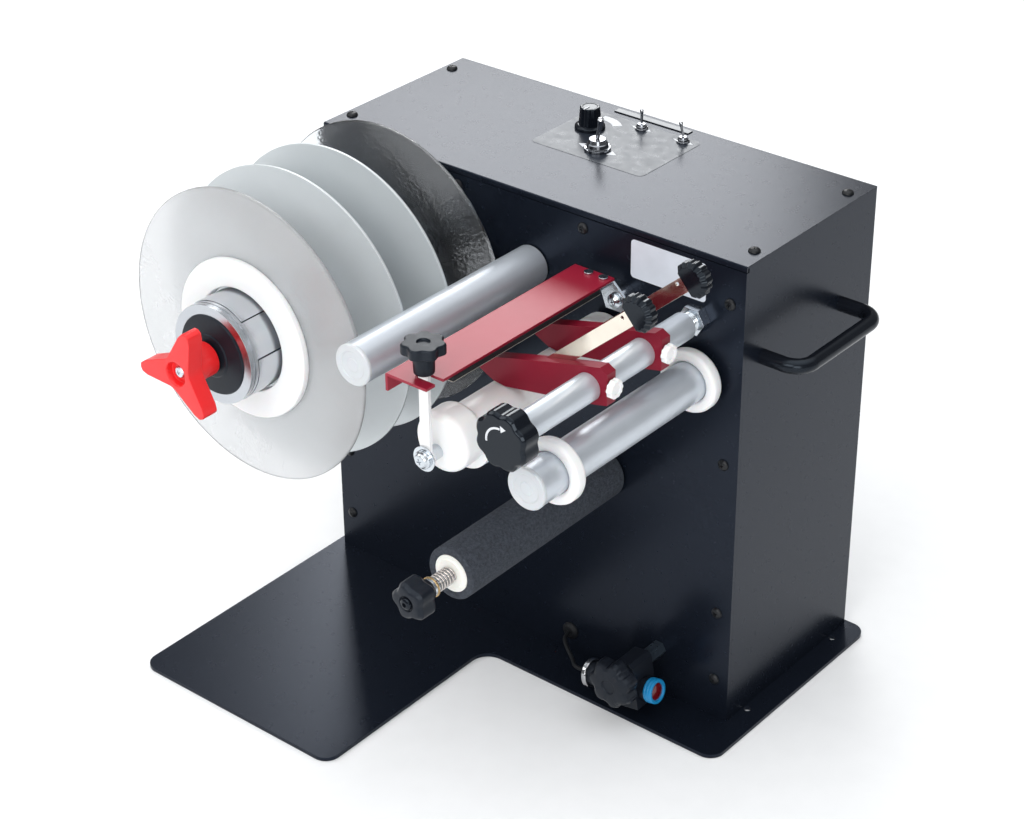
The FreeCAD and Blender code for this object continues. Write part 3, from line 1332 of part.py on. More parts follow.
def build_slitting_unit(name, back):
    """Blade holder on the shaft, with its blade in a slanting slit, the blade's half-round grip and a screw."""
    across, height = s.shaft_across, above(s.shaft_height)
    body = new_body(name + "_holder_blank", across, -back, height)
    pad(body, outline(body, "XZ_Plane", [
        (-s.holder_nose, -s.holder_nose_low), (-s.holder_foot - 10, -s.holder_foot_low + 1.2),
        (-s.holder_foot, -s.holder_foot_low), (s.holder_belly, -s.holder_belly_low),
        (s.holder_tail, -s.holder_tail_low), (s.holder_tail, s.holder_tail_high),
        (s.holder_crown, s.holder_crown_high), (-s.holder_neck, s.holder_neck_high),
        (-s.holder_nose, -s.holder_nose_high),
    ]), s.holder_wall)
    pocket(body, circle_sketch(body, "XZ_Plane", [(0, 0, s.shaft_diameter + s.running_clearance * 2)]))
    slide = Rotation(Vector(0, 1, 0), -float(s.blade_angle))
    blade_back = back + s.blade_setback
    width = s.blade_width / 2
    fit = s.sliding_clearance
    slit = new_body(name + "_slit", s.blade_across, -blade_back + fit, above(s.blade_height), slide)
    pad(slit, outline(slit, "XZ_Plane", [
        (-s.blade_tip - 12, -width - fit), (s.blade_tail, -width - fit), (s.blade_tail, width + fit),
        (-s.blade_tip - 12, width + fit),
    ]), s.blade_wall + fit * 2)
    screw_bore = rod(name + "_screw_bore", s.thumb_screw_diameter + s.sliding_clearance * 2, s.holder_tail,
                     across, -back - s.holder_wall / 2, height + s.thumb_height, ALONG_X)
    keep(cut(name + "_holder", body, [slit, screw_bore]), name + "_holder")

    blade = new_body(name + "_blade_plate", s.blade_across, -blade_back, above(s.blade_height), slide)
    pad(blade, outline(blade, "XZ_Plane", [
        (-s.blade_tip, -width), (s.blade_tail, -width), (s.blade_tail, width),
        (-s.blade_tip + s.blade_tip_slant, width),
    ]), s.blade_wall)
    pocket(blade, circle_sketch(blade, "XZ_Plane", [(s.blade_hole, width / 2, s.blade_hole_diameter)]))
    outer = s.grip_diameter / 2
    grip_back = blade_back + s.blade_wall / 2 - s.grip_wall / 2
    angle = math.radians(float(s.blade_angle))
    grip = turned(name + "_grip_blank", [
        (0, 0), (0, outer - 1.5), (-1.5, outer), (-s.grip_wall + 2, outer), (-s.grip_wall, outer - 3),
        (-s.grip_wall, 0),
    ], s.blade_across + s.grip_centre * math.cos(angle), -grip_back,
        above(s.blade_height) + s.grip_centre * math.sin(angle))
    groove = circle_sketch(grip, "XZ_Plane", [(outer + 0.6, 0, 3)])
    around(grip, pocket(grip, groove), groove, 16)
    flat = new_body(name + "_grip_flat", s.blade_across, -grip_back + 1, above(s.blade_height), slide)
    pad(flat, outline(flat, "XZ_Plane", [
        (0, -s.grip_diameter), (s.grip_flat, -s.grip_diameter), (s.grip_flat, s.grip_diameter),
        (0, s.grip_diameter),
    ]), s.grip_wall + 2)
    seated = cut(name + "_grip", grip, [blade, flat])
    keep(group(name + "_blade_unit", [blade, seated]), name + "_blade")

    rim = s.thumb_diameter / 2
    shank = s.thumb_screw_diameter / 2
    reach = s.holder_tail - s.shaft_diameter / 2 - s.touch_gap - 0.4
    keep(turned(name + "_thumb_screw", [
        (reach, 0), (reach, shank), (-s.touch_gap, shank), (-s.touch_gap, rim - 0.8), (-s.touch_gap - 0.8, rim),
        (-s.thumb_wall + 0.8, rim), (-s.thumb_wall, rim - 0.8), (-s.thumb_wall, 0),
    ], across + s.holder_tail, -back - s.holder_wall / 2, height + s.thumb_height,
        Rotation(Vector(0, 0, 1), 90)), name + "_thumb_screw")


def build_sensor():
    """Round photo sensor in a clamp block on a hexagonal standoff, with its knob and thin cable."""
    across, height = s.sensor_across, above(s.sensor_height)
    tilt = Rotation(Vector(0, 1, 0), -float(s.sensor_tilt))
    block_back = s.sensor_post_length
    block_front = block_back + s.sensor_block_depth
    half = s.sensor_block_width / 2
    body = new_body("sensor_block", across, -block_back, height, tilt)
    pad(body, outline(body, "XZ_Plane", [
        (-half, -s.sensor_drop - 12.5), (half, -s.sensor_drop - 12.5), (half, 7), (half - 3, 10),
        (-half + 3, 10), (-half, 7),
    ]), s.sensor_block_depth)
    middle = block_back + s.sensor_block_depth / 2
    angle = math.radians(float(s.sensor_tilt))
    centre_x = across + s.sensor_drop * math.sin(angle)
    centre_z = height - s.sensor_drop * math.cos(angle)
    aim = tilt.multiply(ALONG_X)
    rear_x = centre_x - s.sensor_rear * math.cos(angle)
    rear_z = centre_z - s.sensor_rear * math.sin(angle)
    bore = rod("sensor_bore", s.sensor_diameter, s.sensor_front + s.sensor_rear, rear_x, -middle, rear_z, aim)
    knob_screw_bore = rod("sensor_screw_bore", s.sensor_screw_diameter + s.running_clearance * 2,
                          s.sensor_block_depth + 2, across, -block_back + 1, height)
    keep(cut("sensor_bracket", body, [bore, knob_screw_bore]), "sensor_bracket")

    turn = tilt.multiply(Rotation(Vector(0, 0, 1), 90))
    radius = s.sensor_diameter / 2
    front = s.sensor_front + s.lens_ring
    sensor = turned("sensor_body", [
        (s.sensor_rear + s.gland_length, 0), (s.sensor_rear + s.gland_length, 3.2), (s.sensor_rear + 1.5, 4.6),
        (s.sensor_rear, radius * 0.9), (s.sensor_rear, radius), (s.sensor_rear - 1, radius),
        (s.sensor_rear - 1, radius + 2.5), (s.sensor_rear - 5, radius + 2.5), (s.sensor_rear - 5, radius),
        (-s.sensor_front, radius),
        (-s.sensor_front, radius + 0.6), (-front + 0.6, radius + 0.6), (-front, radius), (-front, radius - 2.2),
        (-front + 1.2, radius - 2.6), (-front + 1.2, 0),
    ], centre_x, -middle, centre_z, turn)
    keep(sensor, "sensor_body")

    screw_end = block_front + s.sensor_knob_depth / 2
    knob = lobed_knob("sensor_knob_head", s.sensor_knob_diameter, block_front + s.touch_gap,
                      block_front + s.sensor_knob_depth, 8, s.sensor_screw_diameter, screw_end, across, 0, height)
    shank = rod("sensor_screw", s.sensor_screw_diameter, screw_end - block_back, across, -block_back, height)
    keep(group("sensor_knob_unit", [knob, shank]), "sensor_knob")


def smooth_cable(points, diameter):
    """Round tube along straight runs that tangent arcs join; the arcs take 0.45 of the shorter run."""
    edges = []
    start = points[0]
    for before, corner, after in zip(points, points[1:], points[2:]):
        inward = (before - corner).normalize()
        outward = (after - corner).normalize()
        shorter = min(before.distanceToPoint(corner), after.distanceToPoint(corner))
        reach = 0.45 * shorter
        turn = math.pi - inward.getAngle(outward)
        radius = reach / math.tan(turn / 2)
        print("cable arc radius %.1f" % radius)
        first = corner + inward * reach
        last = corner + outward * reach
        middle = corner + (inward + outward).normalize() * (radius / math.cos(turn / 2) - radius)
        edges.append(Part.LineSegment(start, first).toShape())
        edges.append(Part.Arc(first, middle, last).toShape())
        start = last
    edges.append(Part.LineSegment(start, points[-1]).toShape())
    path = Part.Wire(edges)
    section = Part.Wire(Part.makeCircle(diameter / 2, points[0], points[1] - points[0]))
    tube = path.makePipeShell([section], True, True)
    print("cable volume %.1f, section times length %.1f" % (tube.Volume, math.pi * diameter ** 2 / 4 * path.Length))
    return tube


def build_cable():
    """Grommet in the panel and the thin cable from it to the rear of the sensor."""
    across, height = s.grommet_across, above(s.grommet_height)
    outer = s.grommet_diameter / 2
    bore = s.cable_diameter / 2
    neck = (s.grommet_diameter - s.panel_wall) / 2
    keep(turned("cable_grommet", [
        (s.panel_wall + 2, bore), (s.panel_wall + 2, outer), (s.panel_wall, outer), (s.panel_wall, neck), (0, neck),
        (0, outer), (-1.2, outer), (-3, outer * 0.62), (-3, bore),
    ], across, 0, height), "cable_grommet")

    angle = math.radians(float(s.sensor_tilt))
    middle = float(s.sensor_post_length) + float(s.sensor_block_depth) / 2
    rear = float(s.sensor_rear) + float(s.gland_length)
    end_x = float(s.sensor_across) + float(s.sensor_drop) * math.sin(angle) - rear * math.cos(angle)
    end_z = float(height - s.grommet_height + s.sensor_height) - float(s.sensor_drop) * math.cos(angle) \
        - rear * math.sin(angle)
    start = Vector(float(across), 3, float(height))
    end = Vector(end_x, -middle, end_z)
    points = [
        start,
        Vector(float(across), -9, float(height)),
        Vector(float(across) + 8.7, -17, float(height) - 1.5),
        Vector(end_x - 16.9, -25, end_z - 2.2),
        Vector(end_x - 10 * math.cos(angle), -middle, end_z - 10 * math.sin(angle)),
        end,
    ]
    cable = doc.addObject("Part::Feature", "sensor_cable")
    cable.Shape = smooth_cable(points, float(s.cable_diameter))
    keep(cable, "sensor_cable")


def build_electronics():
    """Power supply and control board on the cabinet floor, and the power inlet in the rear cover."""
    floor = above(s.sheet_wall)
    left = s.supply_left
    near = s.supply_near
    case = box("power_supply", (left, near, floor), (left + s.supply_width, near + s.supply_depth,
                                                     floor + s.supply_height))
    board_low = floor + s.supply_height + s.pillar_length
    board_high = board_low + s.board_wall
    board_left = left + s.board_inset
    board_near = near + s.board_inset
    board = box("control_board", (board_left, board_near, board_low),
                (board_left + s.board_width, board_near + s.board_depth, board_high))
    pillars = [rod("board_pillar", s.pillar_diameter, s.pillar_length, board_left + across, board_near + deep,
                   board_low - s.pillar_length, Rotation())
               for across in (s.pillar_inset, s.board_width - s.pillar_inset)
               for deep in (s.pillar_inset, s.board_depth - s.pillar_inset)]
    sink_left = left + s.heat_sink_inset
    sink_near = near + s.heat_sink_inset
    sink = box("board_heat_sink", (sink_left, sink_near, board_high),
               (sink_left + s.heat_sink_width, sink_near + s.heat_sink_depth, board_high + s.heat_sink_height))
    keep(group("drive_electronics", [case, board, sink] + pillars), "drive_electronics")

    low = above(s.inlet_low)
    high = low + s.inlet_height
    left = s.inlet_across
    right = left + s.inlet_width
    clear = s.hole_clearance
    lip = s.inlet_rim
    wall = s.socket_wall
    back = s.cabinet_depth
    rim = box("inlet_rim", (left - lip, back, low - lip), (right + lip, back + s.inlet_rim_wall, high + lip))
    block = box("inlet_block", (left + clear, back - s.inlet_depth, low + clear),
                (right - clear, back, high - clear))
    socket = box("inlet_socket", (left + wall, back - s.socket_depth, low + s.socket_low),
                 (right - wall, back + s.inlet_rim_wall * 2, high - wall))
    keep(cut("power_inlet", union("inlet_blank", [rim, block]), [socket]), "power_inlet")


build_base_plate()
build_cabinet()
build_handle()
build_controls()
build_drive()
build_chuck()
build_wing_knob()
build_discs()
build_rollers()
build_springs()
build_axles()
build_panel_fixings()
build_knobs()
build_bed()
build_clamp()
build_blade_shaft()
build_slitting_unit("outer", s.outer_holder_back)
build_slitting_unit("inner", s.inner_holder_back)
build_sensor()
build_cable()
build_electronics()
doc.recompute()

for item in doc.Objects:
    failed = [state for state in item.State if state in ("Invalid", "Error")]
    if failed:
        raise RuntimeError("%s is %s" % (item.Label, failed))
for part in parts:
    if part.Shape.isNull() or not part.Shape.isValid():
        raise RuntimeError("%s has no valid shape" % part.Label)

os.makedirs("parts", exist_ok=True)
for part in parts:
    part.Shape.exportStep("parts/%s.step" % part.Label)
print("%d sub-parts written" % len(parts))
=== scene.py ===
"""Looks of a bench label slitter and rewinder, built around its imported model.

Sizes are in millimetres in the code and in metres in the scene. A piece that stands out of the front
panel is made along its own Z axis and then turned to point towards -Y.
"""

from __future__ import annotations

import json
import logging
import math
from collections.abc import Callable
from dataclasses import dataclass
from enum import Enum
from itertools import product

import bpy
from mathutils import Matrix, Vector

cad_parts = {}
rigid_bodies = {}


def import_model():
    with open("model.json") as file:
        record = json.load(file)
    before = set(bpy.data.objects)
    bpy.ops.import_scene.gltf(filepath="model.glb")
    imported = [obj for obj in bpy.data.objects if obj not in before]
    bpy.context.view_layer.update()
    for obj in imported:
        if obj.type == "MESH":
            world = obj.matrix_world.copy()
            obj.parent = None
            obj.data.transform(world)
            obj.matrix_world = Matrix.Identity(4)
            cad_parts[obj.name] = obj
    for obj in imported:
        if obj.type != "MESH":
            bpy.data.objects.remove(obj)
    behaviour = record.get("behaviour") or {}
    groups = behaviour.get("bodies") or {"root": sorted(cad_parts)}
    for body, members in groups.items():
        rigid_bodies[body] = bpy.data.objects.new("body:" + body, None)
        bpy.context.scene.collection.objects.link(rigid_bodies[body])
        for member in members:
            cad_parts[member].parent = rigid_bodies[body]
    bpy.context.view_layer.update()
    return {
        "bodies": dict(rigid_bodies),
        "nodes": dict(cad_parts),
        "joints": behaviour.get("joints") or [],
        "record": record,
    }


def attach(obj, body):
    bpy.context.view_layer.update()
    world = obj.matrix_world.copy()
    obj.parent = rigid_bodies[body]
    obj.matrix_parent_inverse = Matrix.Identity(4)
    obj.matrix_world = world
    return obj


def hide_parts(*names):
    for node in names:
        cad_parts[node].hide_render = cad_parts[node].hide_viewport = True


LOGGER = logging.getLogger("slitter_rewinder")
MM = 0.001
PLATE = 3.0
TINY = 1e-6
PRINT = 0.12
SMOOTH = 60.0
Piece = bpy.types.Object
Socket = bpy.types.NodeSocket
Pair = tuple[float, float]
Triple = tuple[float, float, float]


class Aim(Enum):
    """Turn, in degrees about X, Y and Z, that points a piece's own Z axis."""

    OUT = (90.0, 0.0, 0.0)
    BACK = (-90.0, 0.0, 0.0)
    UP = (0.0, 0.0, 0.0)
    RIGHT = (0.0, 90.0, 0.0)


@dataclass(frozen=True)
class Spot:
    """A place in millimetres, and the turn that a piece takes there."""

    x: float
    y: float
    height: float
    turn: Triple = Aim.OUT.value

    def matrix(self) -> Matrix:
        """Give the transform from a piece's own axes to the model's frame, in metres."""
        angles = [math.radians(angle) for angle in self.turn]
        turned = Matrix.Rotation(angles[2], 4, "Z") @ Matrix.Rotation(angles[1], 4, "Y")
        turned = turned @ Matrix.Rotation(angles[0], 4, "X")
        return Matrix.Translation(Vector((self.x, self.y, self.height + PLATE)) * MM) @ turned


class Graph:
    """Nodes of one material, added and linked by name."""

    def __init__(self, name: str) -> None:
        """Start a material with its shader and its object coordinates.

        Args:
            name: Name of the material.
        """
        self.material = bpy.data.materials.new(name)
        self.material.use_nodes = True
        self.tree = self.material.node_tree
        self.shader = next(node for node in self.tree.nodes if node.type == "BSDF_PRINCIPLED")
        self.position = self.tree.nodes.new("ShaderNodeTexCoord").outputs["Object"]

    def add(self, kind: str, **inputs: object) -> bpy.types.Node:
        """Add a node and set or link its inputs.

        Args:
            kind: Blender's name of the node type.
            inputs: Values or sockets by input name, with _ for a space.

        Returns:
            The new node.
        """
        node = self.tree.nodes.new(kind)
        for name, value in inputs.items():
            self.feed(node, name.replace("_", " "), value)
        return node

    def feed(self, node: bpy.types.Node, name: str, value: object) -> None:
        """Set or link one input of a node."""
        if isinstance(value, Socket):
            self.tree.links.new(value, node.inputs[name])
        else:
            node.inputs[name].default_value = value

    def noise(self, scale: Triple, detail: float = 3.0) -> Socket:
        """Give noise whose grain per metre is set along each axis.

        Args:
            scale: Grains per metre along X, Y and Z.
            detail: Number of finer octaves.

        Returns:
            The noise socket, from 0 to 1.
        """
        stretched = self.add("ShaderNodeMapping", Vector=self.position, Scale=scale)
        made = self.add("ShaderNodeTexNoise", Vector=stretched.outputs["Vector"], Scale=1.0,
                        Detail=detail)
        return made.outputs["Fac"]

    def spread(self, value: Socket, low: float, high: float) -> Socket:
        """Map a value's middle range to run from low to high."""
        node = self.add("ShaderNodeMapRange", Value=value, From_Min=0.3, From_Max=0.7, To_Min=low,
                        To_Max=high)
        return node.outputs["Result"]

    def total(self, first: Socket, second: Socket) -> Socket:
        """Give the sum of two values."""
        node = self.tree.nodes.new("ShaderNodeMath")
        node.operation = "ADD"
        for place, value in zip(node.inputs, (first, second)):
            self.tree.links.new(value, place)
        return node.outputs["Value"]


@dataclass(frozen=True)
class Finish:
    """A surface finish: its colour and gloss, with a fine grain and a faint mottle."""

    name: str
    colour: Triple
    metallic: float = 0.0
    roughness: float = 0.5
    roughness_spread: float = 0.04
    coat: float = 0.0
    transmission: float = 0.0
    subsurface: float = 0.0
    mottle: float = 0.06
    blotches: float = 45.0
    grain: Triple = (900.0, 900.0, 900.0)
    depth: float = 0.01
    specular: float = 0.5
    tint: Triple = (1.0, 1.0, 1.0)
    anisotropic: float = 0.0
    sheen_blotches: float = 160.0
    coat_roughness: float = 0.08
    subsurface_reach: float = 0.004

    def material(self) -> bpy.types.Material:
        """Give the finish's material, made on first use."""
        title = self.name + "_look"
        known = bpy.data.materials.get(title)
        if known is not None:
            return known
        graph = Graph(title)
        darker = tuple(part * (1 - self.mottle) for part in self.colour)
        lighter = tuple(min(1.0, part * (1 + self.mottle)) for part in self.colour)
        blotch = graph.spread(graph.noise((self.blotches,) * 3), 0.0, 1.0)
        mix = graph.tree.nodes.new("ShaderNodeMix")
        mix.data_type = "RGBA"
        graph.tree.links.new(blotch, mix.inputs[0])
        mix.inputs[6].default_value = (*darker, 1.0)
        mix.inputs[7].default_value = (*lighter, 1.0)
        low = max(0.02, self.roughness - self.roughness_spread)
        high = self.roughness + self.roughness_spread
        rough = graph.spread(graph.noise((self.sheen_blotches,) * 3), low, high)
        bump = graph.add("ShaderNodeBump", Height=self.relief(graph), Strength=1.0, Distance=self.depth * MM)
        inputs = {
            "Base Color": mix.outputs[2], "Metallic": self.metallic, "Roughness": rough,
            "Specular IOR Level": self.specular, "Specular Tint": (*self.tint, 1.0),
            "Anisotropic": self.anisotropic, "Coat Weight": self.coat, "Coat Roughness": self.coat_roughness,
            "Transmission Weight": self.transmission, "Subsurface Weight": self.subsurface,
            "Subsurface Scale": self.subsurface_reach, "Normal": bump.outputs["Normal"],
        }
        for name, value in inputs.items():
            graph.feed(graph.shader, name, value)
        return graph.material

    def relief(self, graph: Graph) -> Socket:
        """Give the height of the surface's grain."""
        return graph.noise(self.grain)


@dataclass(frozen=True)
class SpunSheet(Finish):
    """Satin sheet whose sheen runs round its own middle, as a lathe's polish does."""

    def relief(self, graph: Graph) -> Socket:
        """Give the grain, and turn the sheen round the sheet's middle."""
        round_middle = graph.tree.nodes.new("ShaderNodeTangent")
        round_middle.direction_type = "RADIAL"
        round_middle.axis = "Y"
        graph.tree.links.new(round_middle.outputs["Tangent"], graph.shader.inputs["Tangent"])
        return graph.noise(self.grain)


@dataclass(frozen=True)
class TurnedMetal(Finish):
    """Metal with the fine rings that a lathe leaves about an axis along Y."""

    axis: Pair = (0.0, 0.0)
    pitch: float = 0.5

    def relief(self, graph: Graph) -> Socket:
        """Give rings by distance from the axis and by stand-off from the panel."""
        place = Vector((-self.axis[0], 0.0, -(self.axis[1] + PLATE))) * MM
        moved = graph.add("ShaderNodeMapping", Vector=graph.position, Location=place)
        parts = graph.add("ShaderNodeSeparateXYZ", Vector=moved.outputs["Vector"])
        flat = graph.add("ShaderNodeCombineXYZ", X=parts.outputs["X"], Y=parts.outputs["Z"])
        reach = graph.tree.nodes.new("ShaderNodeVectorMath")
        reach.operation = "LENGTH"
        graph.tree.links.new(flat.outputs["Vector"], reach.inputs[0])
        total = graph.total(reach.outputs["Value"], parts.outputs["Y"])
        line = graph.add("ShaderNodeCombineXYZ", X=total)
        rings = graph.add("ShaderNodeTexNoise", Vector=line.outputs["Vector"],
                          Scale=1.0 / (self.pitch * MM), Detail=2.0)
        return rings.outputs["Fac"]


@dataclass(frozen=True)
class CellFoam(Finish):
    """Closed-cell foam with open pits where the cells were cut."""

    cells: float = 1100.0

    def relief(self, graph: Graph) -> Socket:
        """Give pits of two sizes."""
        pits = graph.add("ShaderNodeTexVoronoi", Vector=graph.position, Scale=self.cells)
        return graph.total(pits.outputs["Distance"], graph.noise(self.grain))


SPINDLE_AXIS = (77.5, 290.5)
FOAM_AXIS = Spot(266.8, 0.0, 173.7)
FINE = (1500.0,) * 3
ALONG_TUBE = (700.0, 12.0, 700.0)
ALONG_BAR = (1500.0, 10.0, 1500.0)
ALONG_HOLDER = (60.0, 900.0, 2200.0)
ALONG_BLADE = (900.0, 900.0, 60.0)
ACROSS_THREAD = (60.0, 60.0, 900.0)
COOL = (0.8, 0.9, 1.0)

POWDER_COAT = Finish("powder_coat", (0.0055, 0.0075, 0.0125), roughness=0.27, roughness_spread=0.005,
                     mottle=0.03, grain=FINE, depth=0.007, specular=0.25, tint=(0.58, 0.72, 1.0))
SATIN_BLACK_COAT = Finish("satin_black_coat", (0.006, 0.007, 0.010), roughness=0.20, depth=0.004,
                          specular=0.25, tint=(0.7, 0.85, 1.0))
BLACK_OXIDE = Finish("black_oxide", (0.010, 0.011, 0.013), metallic=0.2, roughness=0.32, specular=0.35)
ZINC = Finish("zinc_plate", (0.60, 0.64, 0.68), metallic=1.0, roughness=0.20, roughness_spread=0.08,
              mottle=0.1)
PALE_ZINC = Finish("pale_zinc_bar", (0.80, 0.80, 0.80), metallic=0.35, roughness=0.42)
BLADE_STEEL = Finish("blade_steel", (0.76, 0.70, 0.61), metallic=1.0, roughness=0.12, grain=ALONG_BLADE,
                     depth=0.004)
SPRING_STEEL = Finish("spring_steel", (0.55, 0.51, 0.48), metallic=1.0, roughness=0.2)
BRASS = Finish("brass_washer", (0.62, 0.42, 0.20), metallic=1.0, roughness=0.3)
# Chrome of the switches' dress nuts, its colour darkened below the levers' chrome so that it paints in the
# darker reflections of the nuts: painted shade.
SHADE_PAINTED_CHROME = Finish("shade_painted_chrome", (0.22, 0.23, 0.25), metallic=1.0, roughness=0.10, depth=0.002)
CHROME = Finish("chrome_plate", (0.50, 0.51, 0.53), metallic=1.0, roughness=0.07, roughness_spread=0.02,
                depth=0.002)
SATIN_TUBE = Finish("satin_tube", (0.58, 0.62, 0.67), metallic=0.55, roughness=0.36, mottle=0.03,
                    grain=ALONG_TUBE, depth=0.008)
TURNED_CHUCK = TurnedMetal("turned_chuck", (0.50, 0.52, 0.55), metallic=1.0, roughness=0.20,
                           roughness_spread=0.03, mottle=0.03, depth=0.0035, axis=SPINDLE_AXIS, pitch=0.7)
RED_ANODISED = Finish("red_anodised_bar", (0.27, 0.007, 0.026), metallic=0.1, roughness=0.36,
                      roughness_spread=0.01, mottle=0.03, grain=ALONG_BAR, depth=0.004, specular=0.42)
RED_HOLDER = Finish("red_anodised_holder", (0.20, 0.005, 0.020), metallic=0.15, roughness=0.34,
                    grain=ALONG_HOLDER, depth=0.012, specular=0.2)
DARK_ANODISED = Finish("dark_anodised", (0.060, 0.080, 0.105), metallic=0.7, roughness=0.3)
FROSTED = SpunSheet("frosted_acrylic", (0.62, 0.655, 0.67), metallic=0.35, roughness=0.40,
                    roughness_spread=0.01, mottle=0.01, depth=0.001, anisotropic=0.7)
# The front disc's finish: the same clear pebbled sheet as the rear disc, with a whitish diffuse share that
# paints in the light grey of the pale discs and backdrop seen through it, so it is partly real sheet and
# partly painted light.
PEBBLED_PAINTED_LIGHT = Finish("pebbled_acrylic", (0.80, 0.81, 0.82), roughness=0.24, roughness_spread=0.02,
                 transmission=0.72, mottle=0.01, grain=FINE, depth=0.01, specular=0.4)
CLEAR_PEBBLED = Finish("clear_pebbled_acrylic", (0.90, 0.93, 0.96), roughness=0.16, roughness_spread=0.01,
                       transmission=1.0, mottle=0.01, grain=FINE, depth=0.002, specular=0.1)
WHITE_PLASTIC = Finish("white_plastic", (0.82, 0.82, 0.82), roughness=0.36, subsurface=0.15, mottle=0.012,
                       depth=0.006)
CORE_PLASTIC = Finish("core_plastic", (0.82, 0.81, 0.76), roughness=0.36, subsurface=0.1, mottle=0.02,
                      depth=0.006)
MILKY_CAP = Finish("milky_cap", (0.70, 0.73, 0.76), roughness=0.22, transmission=0.25, subsurface=0.1,
                   mottle=0.03)
RED_PLASTIC = Finish("red_plastic", (0.76, 0.014, 0.016), roughness=0.33, coat=0.05, mottle=0.02,
                     depth=0.006)
BLACK_GLOSS = Finish("black_gloss_plastic", (0.004, 0.005, 0.008), roughness=0.12, depth=0.002,
                     specular=0.30, tint=(0.75, 0.88, 1.0))
BLACK_MATTE = Finish("black_matte_plastic", (0.008, 0.010, 0.015), roughness=0.36, mottle=0.08,
                     grain=(1600.0,) * 3, depth=0.015, specular=0.24, tint=COOL)
BLACK_RUBBER = Finish("black_rubber", (0.007, 0.008, 0.010), roughness=0.55, depth=0.015, specular=0.25)
FOAM = CellFoam("foam_sleeve", (0.045, 0.052, 0.066), roughness=0.85, mottle=0.35, blotches=500.0,
                grain=FINE, depth=0.55, specular=0.3)
PALE_EDGE = Finish("pale_strip_edge", (0.62, 0.58, 0.50), metallic=0.4, roughness=0.4)
SENSOR_BLUE = Finish("sensor_blue", (0.006, 0.21, 0.46), roughness=0.32, depth=0.006)
LENS_RED = Finish("lens_red", (0.12, 0.003, 0.006), roughness=0.08, coat=0.5)
NICKEL = Finish("nickel_thread", (0.50, 0.51, 0.52), metallic=1.0, roughness=0.25, grain=ACROSS_THREAD)
MACHINED_STEEL = TurnedMetal("machined_steel", (0.45, 0.46, 0.47), metallic=1.0, roughness=0.34,
                             axis=SPINDLE_AXIS)
MOTOR_PAINT = Finish("motor_paint", (0.10, 0.11, 0.13), roughness=0.4)
FOLDED_ZINC = Finish("folded_zinc_case", (0.62, 0.63, 0.62), metallic=1.0, roughness=0.4, mottle=0.15,
                     blotches=120.0)
OVERLAY_GREY = Finish("overlay_film", (0.018, 0.022, 0.031), roughness=0.30, depth=0.004, specular=0.35,
                      tint=COOL)
PRINT_WHITE = Finish("print_white", (0.62, 0.64, 0.67), roughness=0.45, depth=0.002)
PLAIN_LABEL = Finish("plain_label", (0.67, 0.71, 0.78), roughness=0.35, depth=0.004)
PALE_FLOOR = Finish("pale_floor", (0.86, 0.865, 0.87), roughness=0.7, mottle=0.01, depth=0.001)

frame: dict = {}


def only(piece: Piece) -> None:
    """Select one object alone and make it active."""
    bpy.ops.object.select_all(action="DESELECT")
    piece.select_set(True)
    bpy.context.view_layer.objects.active = piece


def leave_edit() -> None:
    """Leave edit mode."""
    bpy.ops.object.mode_set(mode="OBJECT")


def everywhere(place: Vector) -> bool:
    """Pick every vertex."""
    return True


def choose(piece: Piece, test: Callable[[Vector], bool] = everywhere) -> int:
    """Select the vertices that a test picks, and leave the piece in edit mode.

    Args:
        piece: The piece to work on.
        test: Says whether a vertex at a place, in metres, is picked.

    Returns:
        The number of vertices picked.
    """
    only(piece)
    bpy.ops.object.mode_set(mode="EDIT")
    bpy.ops.mesh.select_mode(type="VERT")
    bpy.ops.mesh.select_all(action="DESELECT")
    leave_edit()
    picked = 0
    for vertex in piece.data.vertices:
        vertex.select = test(vertex.co)
        picked += vertex.select
    bpy.ops.object.mode_set(mode="EDIT")
    return picked


def add_modifier(piece: Piece, kind: str, **settings: object) -> None:
    """Add a modifier to a piece, set it and apply it."""
    only(piece)
    modifier = piece.modifiers.new(kind.lower(), kind)
    for name, value in settings.items():
        setattr(modifier, name, value)
    bpy.ops.object.modifier_apply(modifier=modifier.name)


def smooth(piece: Piece, angle: float) -> None:
    """Shade a piece smooth, up to an angle in degrees."""
    only(piece)
    bpy.ops.object.shade_smooth_by_angle(angle=math.radians(angle))


def soften(piece: Piece, width: float, angle: float = 30.0) -> None:
    """Bevel a piece's sharp edges, smooth the rest and keep its flats flat.

    Args:
        piece: The piece to finish.
        width: Width of the bevel in millimetres, or 0 for none.
        angle: Least angle of an edge that counts as sharp, in degrees.
    """
    if width > 0:
        add_modifier(piece, "BEVEL", width=width * MM, segments=2, limit_method="ANGLE",
                     angle_limit=math.radians(angle))
    smooth(piece, angle if width <= 0 else SMOOTH)
    add_modifier(piece, "WEIGHTED_NORMAL", mode="FACE_AREA", weight=50, keep_sharp=True)


def settle(piece: Piece, spot: Spot) -> Piece:
    """Put a piece that was made at the origin in its place, with the place in its mesh."""
    only(piece)
    piece.matrix_world = spot.matrix()
    bpy.ops.object.transform_apply(location=True, rotation=True, scale=True)
    return piece


@dataclass(frozen=True)
class Flutes:
    """Scallops round a rim: how many, how deep and over what length and radius."""

    count: int
    depth: float
    low: float
    high: float
    inner: float
    sharpness: float = 1.0
    steps: int = 6
    factors: tuple[float, ...] = ()

    @property
    def columns(self) -> int:
        """Number of columns of vertices round the whole rim."""
        return self.count * self.steps * 2

    def factor(self, step: int) -> float:
        """Give the radius at a step from the valley to the crest, as a share of the full radius."""
        if self.factors:
            return self.factors[step]
        wave = (1 + math.cos(math.pi * step / self.steps)) / 2
        return 1 - self.depth * wave**self.sharpness


def draw_in(scale: float) -> None:
    """Scale what is selected towards or away from the Z axis."""
    bpy.ops.transform.resize(value=(scale, scale, 1.0), center_override=(0.0, 0.0, 0.0))


